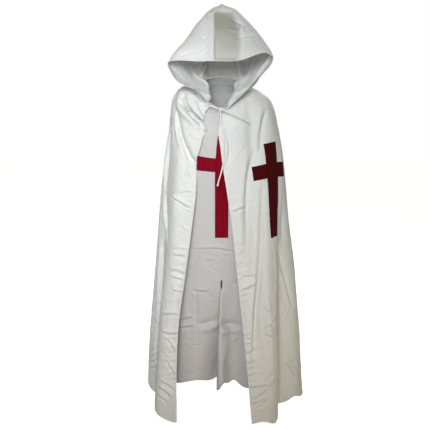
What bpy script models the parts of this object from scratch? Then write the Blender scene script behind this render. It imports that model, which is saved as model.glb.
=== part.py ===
"""A crusader's dress as worn: a hooded mantle, tied at the neck, over a sleeveless surcoat.

Metres, +Z up, the front towards -Y and the wearer's left towards +X. The origin is the middle of the
neck, at the height where the tops of the shoulders meet it. Each garment is a set of cut panels, and
each panel is a wall of cloth carried round the body: a level number runs down the cloth from the neck,
and an angle runs round it, 0 at the front, 90 at the wearer's left side and 180 at the back.
"""

import math
from collections import namedtuple

import bmesh
import bpy
import numpy as np
from mathutils import Matrix

# Driving dimensions.
CLOTH = 0.002  # thickness of the mantle's, the hood's and the surcoat's walls
SEAM_GAP = 0.0003  # between two panels that are sewn together
APPLIQUE = 0.0012  # thickness of a red cross
APPLIQUE_GAP = 0.0003  # between a cross and the panel that it is sewn to
CORD_RADIUS = 0.0025
SIDE_SEAM = 95.0  # degrees round from the front
SLIT_TOP = -0.856  # height where the surcoat's front slit begins
SLIT_WIDTH = 0.003  # between the two edges of the slit, where it begins

# The two red crosses: the height where each begins, its own height and width, its bars' width, and how
# far its arms' top edge lies below its top.
Cross = namedtuple("Cross", "top height span bar arm_drop")
SURCOAT_CROSS = Cross(-0.218, 0.440, 0.215, 0.054, 0.099)
MANTLE_CROSS = Cross(-0.249, 0.402, 0.190, 0.054, 0.093)

# The mantle's levels, from the neck seam to the hem. The heights are on the middle of the front, at the
# wearer's right and left sides and at the back; right, left, front and back are the section's reaches
# from the neck's axis; square is the exponent that squares the section's corners; edge_right and
# edge_left are the angles of the two front edges.
MantleLevel = namedtuple(
    "MantleLevel", "z_front z_right z_left z_back right left front back square edge_right edge_left"
)
MANTLE_LEVELS = (
    MantleLevel(-0.112, 0.012, 0.008, 0.030, 0.080, 0.080, 0.124, 0.082, 2.0, -24.5, 2.0),
    MantleLevel(-0.134, -0.002, -0.014, 0.010, 0.128, 0.126, 0.136, 0.098, 2.0, -28.0, -0.5),
    MantleLevel(-0.162, -0.018, -0.036, -0.022, 0.182, 0.174, 0.145, 0.116, 2.0, -30.0, -3.0),
    MantleLevel(-0.200, -0.070, -0.084, -0.080, 0.218, 0.223, 0.151, 0.130, 2.05, -27.0, -5.5),
    MantleLevel(-0.262, -0.215, -0.222, -0.210, 0.236, 0.256, 0.158, 0.141, 2.05, -31.0, -2.0),
    MantleLevel(-0.345, -0.325, -0.330, -0.320, 0.250, 0.275, 0.166, 0.153, 2.05, -35.5, 1.7),
    MantleLevel(-0.455, -0.445, -0.450, -0.440, 0.264, 0.291, 0.180, 0.168, 2.1, -34.0, 7.3),
    MantleLevel(-0.610, -0.605, -0.605, -0.600, 0.278, 0.307, 0.198, 0.187, 2.15, -36.0, 13.0),
    MantleLevel(-0.810, -0.805, -0.805, -0.800, 0.297, 0.329, 0.222, 0.212, 2.2, -39.0, 17.2),
    MantleLevel(-1.030, -1.020, -1.020, -1.015, 0.316, 0.351, 0.250, 0.240, 2.3, -41.3, 20.6),
    MantleLevel(-1.260, -1.245, -1.240, -1.235, 0.334, 0.373, 0.278, 0.266, 2.4, -39.8, 23.0),
    MantleLevel(-1.494, -1.454, -1.450, -1.452, 0.343, 0.388, 0.303, 0.290, 2.4, -37.6, 25.0),
)

# The surcoat's levels, from the neck edge to the hem. armhole is how far the armhole's edge stands from
# the side line, in degrees.
SurcoatLevel = namedtuple("SurcoatLevel", "z_front z_side z_back half front back square armhole")
SURCOAT_LEVELS = (
    SurcoatLevel(-0.094, -0.010, 0.004, 0.082, 0.095, 0.073, 2.0, 0.0),
    SurcoatLevel(-0.124, -0.027, -0.018, 0.126, 0.109, 0.088, 2.0, 0.0),
    SurcoatLevel(-0.158, -0.040, -0.050, 0.166, 0.122, 0.104, 2.1, 0.0),
    SurcoatLevel(-0.208, -0.095, -0.100, 0.190, 0.131, 0.115, 2.3, 27.0),
    SurcoatLevel(-0.272, -0.225, -0.220, 0.203, 0.137, 0.121, 2.5, 33.0),
    SurcoatLevel(-0.345, -0.325, -0.320, 0.213, 0.140, 0.124, 2.7, 21.0),
    SurcoatLevel(-0.450, -0.440, -0.435, 0.222, 0.139, 0.126, 2.8, 0.0),
    SurcoatLevel(-0.600, -0.592, -0.590, 0.228, 0.140, 0.130, 2.9, 0.0),
    SurcoatLevel(-0.800, -0.792, -0.790, 0.236, 0.146, 0.138, 3.0, 0.0),
    SurcoatLevel(-1.000, -0.995, -0.990, 0.244, 0.153, 0.146, 3.0, 0.0),
    SurcoatLevel(-1.200, -1.195, -1.190, 0.252, 0.161, 0.154, 3.0, 0.0),
    SurcoatLevel(-1.376, -1.384, -1.380, 0.260, 0.169, 0.162, 3.0, 0.0),
)

# The folds. Each runs from one level and angle to another, is as wide as its half width says, and stands
# out of the cloth, or sinks into it, by its two depths.
Fold = namedtuple("Fold", "start end angle_start angle_end half_width depth_start depth_end")
MANTLE_FOLDS = (
    # The wearer's right front: three swags from the shoulder to the edge, then the hanging folds.
    Fold(0.3, 2.2, -62.0, -24.0, 9.0, -0.007, -0.010),
    Fold(1.9, 3.4, -72.0, -27.0, 8.0, -0.006, -0.013),
    Fold(2.6, 5.3, -86.0, -36.0, 8.0, -0.008, -0.015),
    Fold(4.6, 11.0, -56.0, -53.0, 9.0, 0.004, 0.024),
    Fold(4.8, 11.0, -76.0, -71.0, 7.0, -0.006, -0.034),
    Fold(4.8, 11.0, -88.0, -84.0, 8.0, 0.003, 0.014),
    # The wearer's left front: a long valley, the ridge with the cross, and the deep fold behind it.
    Fold(2.6, 10.0, 46.0, 33.0, 6.5, -0.010, -0.010),
    Fold(4.0, 11.0, 56.0, 39.5, 9.5, 0.002, 0.021),
    Fold(6.4, 11.0, 72.0, 58.0, 8.0, -0.004, -0.075),
    Fold(6.4, 11.0, 86.0, 76.0, 8.0, 0.002, 0.014),
    # The back, where the cloth hangs free in deep, uneven folds.
    Fold(4.0, 11.0, -108.0, -106.0, 8.0, -0.006, -0.032),
    Fold(4.5, 11.0, -124.0, -123.0, 9.0, 0.004, 0.022),
    Fold(4.0, 11.0, -141.0, -143.0, 8.0, -0.006, -0.036),
    Fold(4.5, 11.0, -158.0, -161.0, 9.0, 0.004, 0.024),
    Fold(3.6, 11.0, -178.0, -180.0, 9.0, -0.007, -0.038),
    Fold(4.5, 11.0, 160.0, 161.0, 9.0, 0.004, 0.026),
    Fold(4.0, 11.0, 143.0, 142.0, 8.0, -0.006, -0.034),
    Fold(4.5, 11.0, 126.0, 123.0, 9.0, 0.004, 0.022),
    Fold(4.2, 11.0, 109.0, 103.0, 8.0, -0.006, -0.036),
)
SURCOAT_FOLDS = (
    # The front, beside the slit.
    Fold(6.5, 11.0, -36.0, -38.0, 10.0, 0.001, 0.010),
    Fold(7.5, 11.0, 18.0, 20.0, 13.0, -0.002, -0.058),
    Fold(7.5, 11.0, 42.0, 42.0, 12.0, 0.002, 0.014),
    # The sides and the back.
    Fold(6.0, 11.0, -70.0, -72.0, 11.0, -0.003, -0.018),
    Fold(6.0, 11.0, 70.0, 72.0, 11.0, -0.003, -0.018),
    Fold(6.0, 11.0, -112.0, -112.0, 11.0, -0.003, -0.020),
    Fold(6.0, 11.0, 112.0, 112.0, 11.0, -0.003, -0.020),
    Fold(6.0, 11.0, -138.0, -140.0, 10.0, 0.003, 0.014),
    Fold(6.0, 11.0, 138.0, 140.0, 10.0, 0.003, 0.014),
    Fold(6.0, 11.0, 180.0, 180.0, 14.0, -0.003, -0.024),
)

# The hood's ribs, from the face edge to the seam down its back. Each starts at an angle on the neck seam
# and runs up through points to the seam over the crown. A point is how far out it is, and its y and z.
Rib = namedtuple("Rib", "neck_angle collar jaw cheek temple crown seam")
HOOD_RIGHT = (
    Rib(24.5, (0.104, -0.126, -0.026), (0.184, -0.116, 0.010), (0.226, -0.106, 0.074),
        (0.196, -0.113, 0.095), (0.088, -0.142, 0.093), (0.0, -0.160, 0.094)),
    Rib(52.0, (0.120, -0.074, -0.010), (0.180, -0.068, 0.028), (0.214, -0.064, 0.086),
        (0.176, -0.070, 0.142), (0.092, -0.104, 0.166), (0.0, -0.122, 0.172)),
    Rib(88.0, (0.116, 0.002, 0.020), (0.156, 0.000, 0.056), (0.186, -0.012, 0.122),
        (0.152, -0.028, 0.184), (0.088, -0.056, 0.229), (0.0, -0.074, 0.240)),
    Rib(124.0, (0.098, 0.060, 0.040), (0.126, 0.066, 0.084), (0.146, 0.050, 0.158),
        (0.124, 0.020, 0.226), (0.072, -0.010, 0.276), (0.0, -0.026, 0.288)),
    Rib(154.0, (0.058, 0.092, 0.052), (0.072, 0.112, 0.102), (0.080, 0.104, 0.172),
        (0.078, 0.072, 0.242), (0.048, 0.038, 0.302), (0.0, 0.012, 0.317)),
    Rib(180.0, (0.0, 0.104, 0.062), (0.0, 0.130, 0.112), (0.0, 0.140, 0.180),
        (0.0, 0.122, 0.246), (0.0, 0.086, 0.302), (0.0, 0.040, 0.332)),
)
HOOD_LEFT = (
    Rib(2.0, (0.088, -0.128, -0.038), (0.138, -0.118, 0.014), (0.210, -0.108, 0.094),
        (0.174, -0.114, 0.127), (0.080, -0.142, 0.098), (0.0, -0.160, 0.094)),
    Rib(46.0, (0.122, -0.078, -0.016), (0.176, -0.072, 0.030), (0.216, -0.066, 0.106),
        (0.182, -0.072, 0.158), (0.094, -0.104, 0.170), (0.0, -0.122, 0.172)),
    Rib(86.0, (0.116, 0.002, 0.014), (0.158, 0.000, 0.054), (0.204, -0.012, 0.128),
        (0.170, -0.028, 0.190), (0.096, -0.056, 0.232), (0.0, -0.074, 0.240)),
    Rib(124.0, (0.100, 0.060, 0.038), (0.130, 0.066, 0.084), (0.158, 0.050, 0.160),
        (0.138, 0.020, 0.228), (0.078, -0.010, 0.277), (0.0, -0.026, 0.288)),
    Rib(154.0, (0.058, 0.092, 0.052), (0.072, 0.112, 0.102), (0.084, 0.104, 0.172),
        (0.084, 0.072, 0.242), (0.050, 0.038, 0.302), (0.0, 0.012, 0.317)),
    Rib(180.0, (0.0, 0.104, 0.062), (0.0, 0.130, 0.112), (0.0, 0.140, 0.180),
        (0.0, 0.122, 0.246), (0.0, 0.086, 0.302), (0.0, 0.040, 0.332)),
)

# The tie: its knot, and the routes of its leads from the ends of the neck seam and of its two free ends.
KNOT_CENTRE = (-0.006, -0.150, -0.107)
KNOT_RADII = (0.0075, 0.0055, 0.0060)
RIGHT_LEAD = (
    (-0.052, -0.131, -0.090), (-0.042, -0.142, -0.094), (-0.026, -0.149, -0.100), (-0.0145, -0.150, -0.1043),
)
LEFT_LEAD = (
    (0.014, -0.1405, -0.1015), (0.011, -0.146, -0.1035), (0.0075, -0.149, -0.1055), (0.0024, -0.150, -0.1068),
)
LONG_END = (
    (-0.006, -0.1505, -0.1140), (-0.0045, -0.156, -0.130), (-0.001, -0.162, -0.155), (0.002, -0.167, -0.190),
    (0.003, -0.172, -0.235), (0.0015, -0.176, -0.285), (-0.002, -0.180, -0.330), (-0.008, -0.182, -0.370),
    (-0.0155, -0.180, -0.400), (-0.020, -0.177, -0.423),
)
SHORT_END = (
    (0.0026, -0.1565, -0.1085), (0.018, -0.158, -0.1125), (0.040, -0.1605, -0.120), (0.064, -0.159, -0.130),
    (0.090, -0.154, -0.142), (0.116, -0.147, -0.155),
)

# A finish is a colour and a roughness.
COTTON_WHITE = ((0.80, 0.79, 0.76, 1.0), 0.85)
COTTON_RED = ((0.30, 0.005, 0.02, 1.0), 0.80)
CORD_WHITE = ((0.82, 0.78, 0.76, 1.0), 0.80)


def through(values, at):
    """A smooth curve through evenly numbered values, read at the numbers in at (Catmull and Rom's)."""
    values = np.asarray(values, float)
    at = np.clip(np.asarray(at, float), 0, len(values) - 1)
    padded = np.concatenate([[2 * values[0] - values[1]], values, [2 * values[-1] - values[-2]]])
    first = np.minimum(at.astype(int), len(values) - 2)
    part = (at - first).reshape(at.shape + (1,) * (values.ndim - 1))
    a, b, c, d = (padded[first + k] for k in range(4))
    slope, bend, twist = c - a, 2 * a - 5 * b + 4 * c - d, 3 * b - a - 3 * c + d
    return b + 0.5 * part * (slope + part * (bend + part * twist))


def column(table, name, level):
    """One column of a table of levels, read at these levels."""
    return through([getattr(row, name) for row in table], level)


def smooth_step(low, high, value):
    """0 below low, 1 above high, and an even rise between."""
    share = np.clip((value - low) / (high - low), 0, 1)
    return share * share * (3 - 2 * share)


def turn_between(angle, other):
    """The angle from other to angle, from -180 to 180 degrees."""
    return (angle - other + 180) % 360 - 180


def folded(folds, level, angle):
    """How far the folds move the cloth out at each level and angle."""
    height = np.zeros(np.broadcast(level, angle).shape)
    for fold in folds:
        along = (level - fold.start) / (fold.end - fold.start)
        share = np.clip(along, 0, 1)
        middle = fold.angle_start + (fold.angle_end - fold.angle_start) * share
        depth = fold.depth_start + (fold.depth_end - fold.depth_start) * share
        fade = smooth_step(-0.18, 0.06, along) * (1 - smooth_step(1.0, 1.2, along))
        height += depth * fade * np.exp(-((turn_between(angle, middle) / fold.half_width) ** 2))
    return height


def section_point(table, sides, heights, level, angle):
    """A point of a garment before it is folded: a squared oval round the neck's axis, whose height
    passes from the front's to the side's and the back's. sides and heights name the columns of the
    reach and of the height on the wearer's right and left."""
    turn = np.radians(angle)
    sine, cosine = np.sin(turn), np.cos(turn)
    side = np.where(sine < 0, *(column(table, name, level) for name in sides))
    z_side = np.where(sine < 0, *(column(table, name, level) for name in heights))
    depth = np.where(cosine > 0, column(table, "front", level), column(table, "back", level))
    z_end = np.where(cosine > 0, column(table, "z_front", level), column(table, "z_back", level))
    square = column(table, "square", level)
    radius = (np.abs(sine / side) ** square + np.abs(cosine / depth) ** square) ** (-1 / square)
    height = z_side + (z_end - z_side) * cosine**2
    return np.stack([radius * sine, -radius * cosine, height], axis=-1)


def outward(surface, levels, level, angle):
    """The unit normal, away from the body, of a surface with this many levels."""
    step = 1e-3
    level = np.clip(level, step, levels - 1 - step)
    down = surface(level + step, angle) - surface(level - step, angle)
    round_it = surface(level, angle + step * 30) - surface(level, angle - step * 30)
    normal = np.cross(down, round_it)
    return normal / np.linalg.norm(normal, axis=-1, keepdims=True)


def mantle_plain(level, angle):
    return section_point(MANTLE_LEVELS, ("right", "left"), ("z_right", "z_left"), level, angle)


def mantle_point(level, angle):
    """A point of the mantle's outer face."""
    level, angle = np.broadcast_arrays(np.asarray(level, float), np.asarray(angle, float))
    away = outward(mantle_plain, len(MANTLE_LEVELS), level, angle)
    return mantle_plain(level, angle) + folded(MANTLE_FOLDS, level, angle)[..., None] * away


def mantle_normal(level, angle):
    return outward(mantle_point, len(MANTLE_LEVELS), level, angle)


def surcoat_plain(level, angle):
    return section_point(SURCOAT_LEVELS, ("half", "half"), ("z_side", "z_side"), level, angle)


def flaps(level, angle, flap):
    """How far the two flaps beside the slit leave the surcoat's front: the wearer's right flap falls
    back and the left one stands forward at its edge. flap is -1 right of the slit and 1 left of it."""
    opened = smooth_step(7.9, 11.6, level)
    right = -0.105 * opened * np.exp(-((angle / 24.0) ** 2))
    left = 0.060 * opened * np.exp(-((angle / 10.0) ** 2))
    return np.where(flap < 0, right, np.where(flap > 0, left, 0.0))


def surcoat_point(level, angle, flap=0):
    """A point of the surcoat's outer face."""
    level, angle = np.broadcast_arrays(np.asarray(level, float), np.asarray(angle, float))
    height = folded(SURCOAT_FOLDS, level, angle) + flaps(level, angle, flap)
    away = outward(surcoat_plain, len(SURCOAT_LEVELS), level, angle)
    return surcoat_plain(level, angle) + height[..., None] * away


def surcoat_normal(level, angle, flap=0):
    return outward(lambda *at: surcoat_point(*at, flap), len(SURCOAT_LEVELS), level, angle)


def level_at(surface, levels, angle, height):
    """The level at which a surface passes a height at an angle."""
    steps = np.linspace(0, levels - 1, 400)
    heights = surface(steps, np.full_like(steps, angle))[..., 2]
    return float(np.interp(-height, -heights, steps))


def rows_through(count, last, marks):
    """Evenly spaced levels from 0 to the last, with the nearest one moved to each mark."""
    rows = np.linspace(0, last, count)
    for mark in marks:
        rows[1 + np.abs(rows[1:-1] - mark).argmin()] = mark
    return rows


def grid_normals(points):
    """Each grid point's unit normal, from the cells round it."""
    along_a, along_b = points[1:, :-1] - points[:-1, :-1], points[1:, 1:] - points[:-1, 1:]
    round_a, round_b = points[:-1, 1:] - points[:-1, :-1], points[1:, 1:] - points[1:, :-1]
    faces = np.cross(along_a + along_b, round_a + round_b)
    normals = np.zeros_like(points)
    for rows in (slice(None, -1), slice(1, None)):
        for columns in (slice(None, -1), slice(1, None)):
            normals[rows, columns] += faces
    return normals / np.linalg.norm(normals, axis=-1, keepdims=True)


def add_wall(name, points, normals, finish, low, high, cells=None):
    """A closed wall between two copies of a grid of points, moved along their normals by low and by
    high. cells says which of the grid's cells are cloth, and the wall is closed along their border."""
    rows, columns = points.shape[:2]
    cells = np.ones((rows - 1, columns - 1), bool) if cells is None else cells
    outer, inner = points + high * normals, points + low * normals
    number = np.arange(rows * columns).reshape(rows, columns)
    a, b = number[:-1, :-1][cells], number[1:, :-1][cells]
    c, d = number[1:, 1:][cells], number[:-1, 1:][cells]
    faces = np.concatenate([np.stack([a, b, c], 1), np.stack([a, c, d], 1)])
    ends = np.concatenate([faces[:, [0, 1]], faces[:, [1, 2]], faces[:, [2, 0]]])
    known = {tuple(pair) for pair in ends.tolist()}
    border = np.array([pair for pair in known if pair[::-1] not in known])
    border = border[np.lexsort(border.T)]
    far = rows * columns
    start, stop = border[:, 0], border[:, 1]
    rim = np.stack([stop, start, start + far, stop, start + far, stop + far], 1).reshape(-1, 3)
    triangles = np.concatenate([faces, faces[:, ::-1] + far, rim])
    used, triangles = np.unique(triangles, return_inverse=True)
    vertices = np.concatenate([outer.reshape(-1, 3), inner.reshape(-1, 3)])[used]
    mesh = bpy.data.meshes.new(name)
    mesh.from_pydata(vertices.tolist(), [], triangles.reshape(-1, 3).tolist())
    mesh.update()
    mesh.shade_smooth()
    mesh.set_sharp_from_angle(angle=math.radians(50))
    add_object(name, mesh, finish)


def add_object(name, data, finish):
    """Puts mesh or curve data into the scene under a node's name, in a material of its own."""
    colour, roughness = finish
    material = bpy.data.materials.new(name)
    material.use_nodes = True
    shader = material.node_tree.nodes["Principled BSDF"]
    shader.inputs["Base Color"].default_value = colour
    shader.inputs["Roughness"].default_value = roughness
    shader.inputs["Metallic"].default_value = 0.0
    data.materials.append(material)
    bpy.context.scene.collection.objects.link(bpy.data.objects.new(name, data))


def columns_between(bounds, counts):
    """A grid's angles: every row has a bound's angle at each bound and even steps between them. The
    second value numbers the columns that the bounds lie on."""
    starts = np.concatenate([[0], np.cumsum(counts)])
    whole = np.arange(starts[-1] + 1)
    return np.array([np.interp(whole, starts, row) for row in np.transpose(bounds)]), starts


def angle_of(surface, level, angle, distance):
    """The angle that lies a distance round the cloth from another angle, reached in small strides."""
    strides, step = 8, 0.5
    for _ in range(strides):
        ahead, behind = surface(level, angle + step), surface(level, angle - step)
        per_degree = np.linalg.norm(ahead - behind, axis=-1) / (2 * step)
        angle = angle + distance / strides / per_degree
    return angle


def cross_bands(cross, surface, rows, marks, middle):
    """The angles of a cross's two arm ends and of its bar's two edges, at each row. Above and below the
    cross they keep the angles of its top and of its foot."""
    level = np.clip(rows, marks[0], marks[-1])
    return [
        angle_of(surface, level, middle, offset)
        for offset in (-cross.span / 2, -cross.bar / 2, cross.bar / 2, cross.span / 2)
    ]


def cross_marks(cross, surface, levels, middle):
    """The levels of a cross's top edge, its arms' two edges and its foot."""
    drops = (0.0, cross.arm_drop, cross.arm_drop + cross.bar, cross.height)
    return [level_at(surface, levels, middle, cross.top - drop) for drop in drops]


def cross_cells(rows, marks, columns, bar, arms):
    """Which cells of a panel's grid a cross covers: the bar's columns from top to foot, and the arms'."""
    top, arm_top, arm_foot, foot = (int(np.abs(rows - mark).argmin()) for mark in marks)
    cells = np.zeros((len(rows) - 1, columns), bool)
    cells[top:foot, bar] = True
    cells[arm_top:arm_foot, arms] = True
    return cells


def add_panel_and_cross(panel, cross, points, normals, cells, crossed):
    """A panel, and a cross that lies on it, made from the panel's own points moved out."""
    add_wall(panel, points, normals, COTTON_WHITE, -CLOTH, 0.0, cells)
    add_wall(cross, points, normals, COTTON_RED, APPLIQUE_GAP, APPLIQUE_GAP + APPLIQUE, crossed)


MANTLE_ROWS = 24
MANTLE_CROSS_ANGLES = (64.0, 56.0)  # where the cross's middle lies, at its top and at its foot


def seam_angles(surface, rows, angle):
    """The angles of two panels' edges on each side of a seam, half the seam's gap from its line."""
    line = np.full_like(rows, angle)
    return [angle_of(surface, rows, line, side * SEAM_GAP / 2) for side in (-1, 1)]


def add_mantle():
    """The mantle's two fronts and two backs, sewn at the sides and at the middle of the back."""
    last = len(MANTLE_LEVELS) - 1
    marks = cross_marks(MANTLE_CROSS, mantle_point, last + 1, MANTLE_CROSS_ANGLES[0])
    rows = rows_through(MANTLE_ROWS, last, marks)
    edge_right = column(MANTLE_LEVELS, "edge_right", rows)
    edge_left = column(MANTLE_LEVELS, "edge_left", rows)
    back_right, front_right = seam_angles(mantle_point, rows, -SIDE_SEAM)
    front_left, back_left = seam_angles(mantle_point, rows, SIDE_SEAM)
    middle_right = seam_angles(mantle_point, rows, -180.0)[1]
    middle_left = seam_angles(mantle_point, rows, 180.0)[0]
    plain = {
        "mantle_front_right": ((front_right, edge_right), 14),
        "mantle_back_right": ((middle_right, back_right), 15),
        "mantle_back_left": ((back_left, middle_left), 15),
    }
    for name, (bounds, count) in plain.items():
        angles, _ = columns_between(bounds, [count])
        at = rows[:, None], angles
        add_wall(name, mantle_point(*at), mantle_normal(*at), COTTON_WHITE, -CLOTH, 0.0)

    middle = np.interp(rows, (marks[0], marks[-1]), MANTLE_CROSS_ANGLES)
    arm_a, bar_a, bar_b, arm_b = cross_bands(MANTLE_CROSS, mantle_point, rows, marks, middle)
    bounds = (edge_left, arm_a, bar_a, bar_b, arm_b, front_left)
    angles, starts = columns_between(bounds, [6, 3, 2, 3, 2])
    bar, arms = slice(starts[2], starts[3]), slice(starts[1], starts[4])
    crossed = cross_cells(rows, marks, starts[-1], bar, arms)
    at = rows[:, None], angles
    add_panel_and_cross(
        "mantle_front_left", "mantle_cross", mantle_point(*at), mantle_normal(*at), None, crossed
    )


SURCOAT_ROWS = 19
SLIT_DRIFT = -6.0  # degrees that the slit leans to the wearer's right by the hem


def add_surcoat():
    """The surcoat's front, slit up its middle, and its back, sewn at the shoulders and the sides."""
    last = len(SURCOAT_LEVELS) - 1
    marks = cross_marks(SURCOAT_CROSS, surcoat_point, last + 1, 0.0)
    slit_level = level_at(surcoat_point, last + 1, 0.0, SLIT_TOP)
    rows = rows_through(SURCOAT_ROWS, last, [*marks, slit_level])
    armhole = column(SURCOAT_LEVELS, "armhole", rows)
    armhole[armhole < 1.0] = 0.0
    front_side = angle_of(surcoat_point, rows, 90 - armhole, -SEAM_GAP / 2)
    back_side = angle_of(surcoat_point, rows, 90 + armhole, SEAM_GAP / 2)

    lean = SLIT_DRIFT * smooth_step(slit_level, last, rows)
    slit_right, slit_left = (
        angle_of(surcoat_point, rows, lean, side * SLIT_WIDTH / 2) for side in (-1, 1)
    )
    arm_a, bar_a, bar_b, arm_b = cross_bands(SURCOAT_CROSS, surcoat_point, rows, marks, 0 * rows)
    bounds = (-front_side, arm_a, bar_a + lean, slit_right, slit_left, bar_b + lean, arm_b, front_side)
    angles, starts = columns_between(bounds, [5, 3, 2, 1, 2, 3, 5])
    flap = np.where(np.arange(angles.shape[1]) <= starts[3], -1, 1)
    flap = np.where(rows[:, None] > slit_level + 1e-6, flap, 0)
    cells = np.ones((len(rows) - 1, starts[-1]), bool)
    cells[rows[:-1] > slit_level - 1e-6, starts[3]] = False
    bar, arms = slice(starts[2], starts[5]), slice(starts[1], starts[6])
    crossed = cross_cells(rows, marks, starts[-1], bar, arms)
    at = rows[:, None], angles, flap
    add_panel_and_cross(
        "surcoat_front", "surcoat_cross", surcoat_point(*at), surcoat_normal(*at), cells, crossed
    )

    angles, _ = columns_between((back_side, 360 - back_side), [16])
    at = rows[:, None], angles
    add_wall("surcoat_back", surcoat_point(*at), surcoat_normal(*at), COTTON_WHITE, -CLOTH, 0.0)


NECK_RISE = 0.0016  # from the mantle's neck edge up to the hood's, so that the two walls clear
HOOD_ROWS = 14
HOOD_COLUMNS = 16


def hood_grid(ribs, side):
    """A hood panel's points: rows from the neck seam up to the crown seam, and columns from the face
    edge to the seam down the back. side is -1 for the wearer's right."""
    backs, ups = np.linspace(0, 1, HOOD_COLUMNS), np.linspace(0, 1, HOOD_ROWS)
    neck_angles = through([rib.neck_angle for rib in ribs], backs * (len(ribs) - 1))
    neck = mantle_point(0.0, neck_angles * side) * [side, 1, 1] + [0, 0, NECK_RISE]
    upper = through([rib[1:] for rib in ribs], backs * (len(ribs) - 1))
    net = np.concatenate([neck[:, None], upper], axis=1)
    grid = through(np.moveaxis(net, 1, 0), ups * (net.shape[1] - 1))
    grid[..., 0] = np.maximum(grid[..., 0], SEAM_GAP / 2)
    return grid * [side, 1, 1]


def add_hood():
    """The hood's two panels, sewn over the crown and down the back."""
    for name, ribs, side in (("hood_right", HOOD_RIGHT, -1), ("hood_left", HOOD_LEFT, 1)):
        points = hood_grid(ribs, side)
        normals = grid_normals(points) * -side
        # Along the two seams the wall's edge lies in the plane between the panels.
        normals[-1, :, 0] = 0
        normals[:, -1, 0] = 0
        normals /= np.linalg.norm(normals, axis=-1, keepdims=True)
        add_wall(name, points[:, ::-side], normals[:, ::-side], COTTON_WHITE, -CLOTH, 0.0)


def add_cord(name, points, spacing):
    """A round cord along a smooth curve through the points, capped at both ends."""
    fine = through(points, np.linspace(0, len(points) - 1, 400))
    length = np.concatenate([[0], np.cumsum(np.linalg.norm(np.diff(fine, axis=0), axis=1))])
    stations = np.linspace(0, length[-1], max(3, round(length[-1] / spacing)))
    even = np.stack([np.interp(stations, length, axis) for axis in fine.T], 1)
    data = bpy.data.curves.new(name, "CURVE")
    data.dimensions = "3D"
    data.bevel_depth = CORD_RADIUS
    data.bevel_resolution = 2
    data.use_fill_caps = True
    line = data.splines.new("POLY")
    line.points.add(len(even) - 1)
    for spot, place in zip(line.points, even):
        spot.co = (*place, 1.0)
    add_object(name, data, CORD_WHITE)


def add_tie():
    """The cord that closes the mantle: a knot, two leads and two free ends."""
    shape = bmesh.new()
    placed = Matrix.Translation(KNOT_CENTRE) @ Matrix.Diagonal((*KNOT_RADII, 1.0))
    bmesh.ops.create_uvsphere(shape, u_segments=12, v_segments=8, radius=1.0, matrix=placed)
    mesh = bpy.data.meshes.new("tie_knot")
    shape.to_mesh(mesh)
    shape.free()
    mesh.shade_smooth()
    add_object("tie_knot", mesh, CORD_WHITE)
    add_cord("tie_lead_right", RIGHT_LEAD, 0.006)
    add_cord("tie_lead_left", LEFT_LEAD, 0.006)
    add_cord("tie_end_long", LONG_END, 0.011)
    add_cord("tie_end_short", SHORT_END, 0.010)


def main():
    for old in list(bpy.data.objects):
        bpy.data.objects.remove(old)
    add_mantle()
    add_hood()
    add_surcoat()
    add_tie()


if __name__ == "__main__":
    main()
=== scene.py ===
"""A crusader's dress as worn: a hooded mantle, tied at the neck, over a sleeveless surcoat.

Metres, +Z up, the front towards -Y and the wearer's left towards +X. The origin is the middle of the
neck, at the height where the tops of the shoulders meet it. Each garment is a set of cut panels. A panel
is a thin wall of cloth carried round the body: a level number runs down the cloth from the neck, and an
angle runs round it, 0 at the front, 90 at the wearer's left side and 180 at the back. On the hood a
share runs up from the neck seam to the crown, and another back from the face edge to the back seam.
"""

import math
from collections import namedtuple

import bpy
import numpy as np
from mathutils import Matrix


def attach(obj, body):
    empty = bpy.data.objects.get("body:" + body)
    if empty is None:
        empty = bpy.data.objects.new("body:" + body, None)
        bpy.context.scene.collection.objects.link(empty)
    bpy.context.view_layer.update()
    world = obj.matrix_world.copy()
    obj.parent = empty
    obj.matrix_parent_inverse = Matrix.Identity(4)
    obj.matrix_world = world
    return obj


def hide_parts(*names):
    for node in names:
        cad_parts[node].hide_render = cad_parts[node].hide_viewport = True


bl_info = {
    "name": "Crusader Dress",
    "version": (1, 0, 0),
    "blender": (4, 5, 0),
    "location": "3D View > Sidebar > Dress",
    "description": "Makes a hooded mantle and a surcoat as worn, with their crosses, tie and studio",
    "category": "Add Mesh",
}

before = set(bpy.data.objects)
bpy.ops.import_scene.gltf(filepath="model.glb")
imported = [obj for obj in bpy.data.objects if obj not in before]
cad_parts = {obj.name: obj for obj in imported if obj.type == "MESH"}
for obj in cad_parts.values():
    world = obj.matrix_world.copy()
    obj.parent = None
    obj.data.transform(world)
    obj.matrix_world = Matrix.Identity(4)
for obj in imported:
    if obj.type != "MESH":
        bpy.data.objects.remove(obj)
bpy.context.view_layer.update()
BODY = "root"


def table(kind, *rows):
    """Rows of values as a list of named tuples of one kind."""
    return [kind(*row) for row in rows]


# The seams between the panels, and the slit up the surcoat's front.
SEAM_GAP = 0.0003  # between two panels that are sewn together
NECK_RISE = 0.0004  # from the mantle's neck edge up to the hood's
SIDE_SEAM = 95.0  # degrees round from the front
SLIT_TOP = -0.856  # the height where the slit begins
SLIT_WIDTH = 0.003  # between the front's two halves where they are joined, above the slit
SLIT_DRIFT = -4.8  # degrees that the slit leans to the wearer's right by the hem

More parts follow.
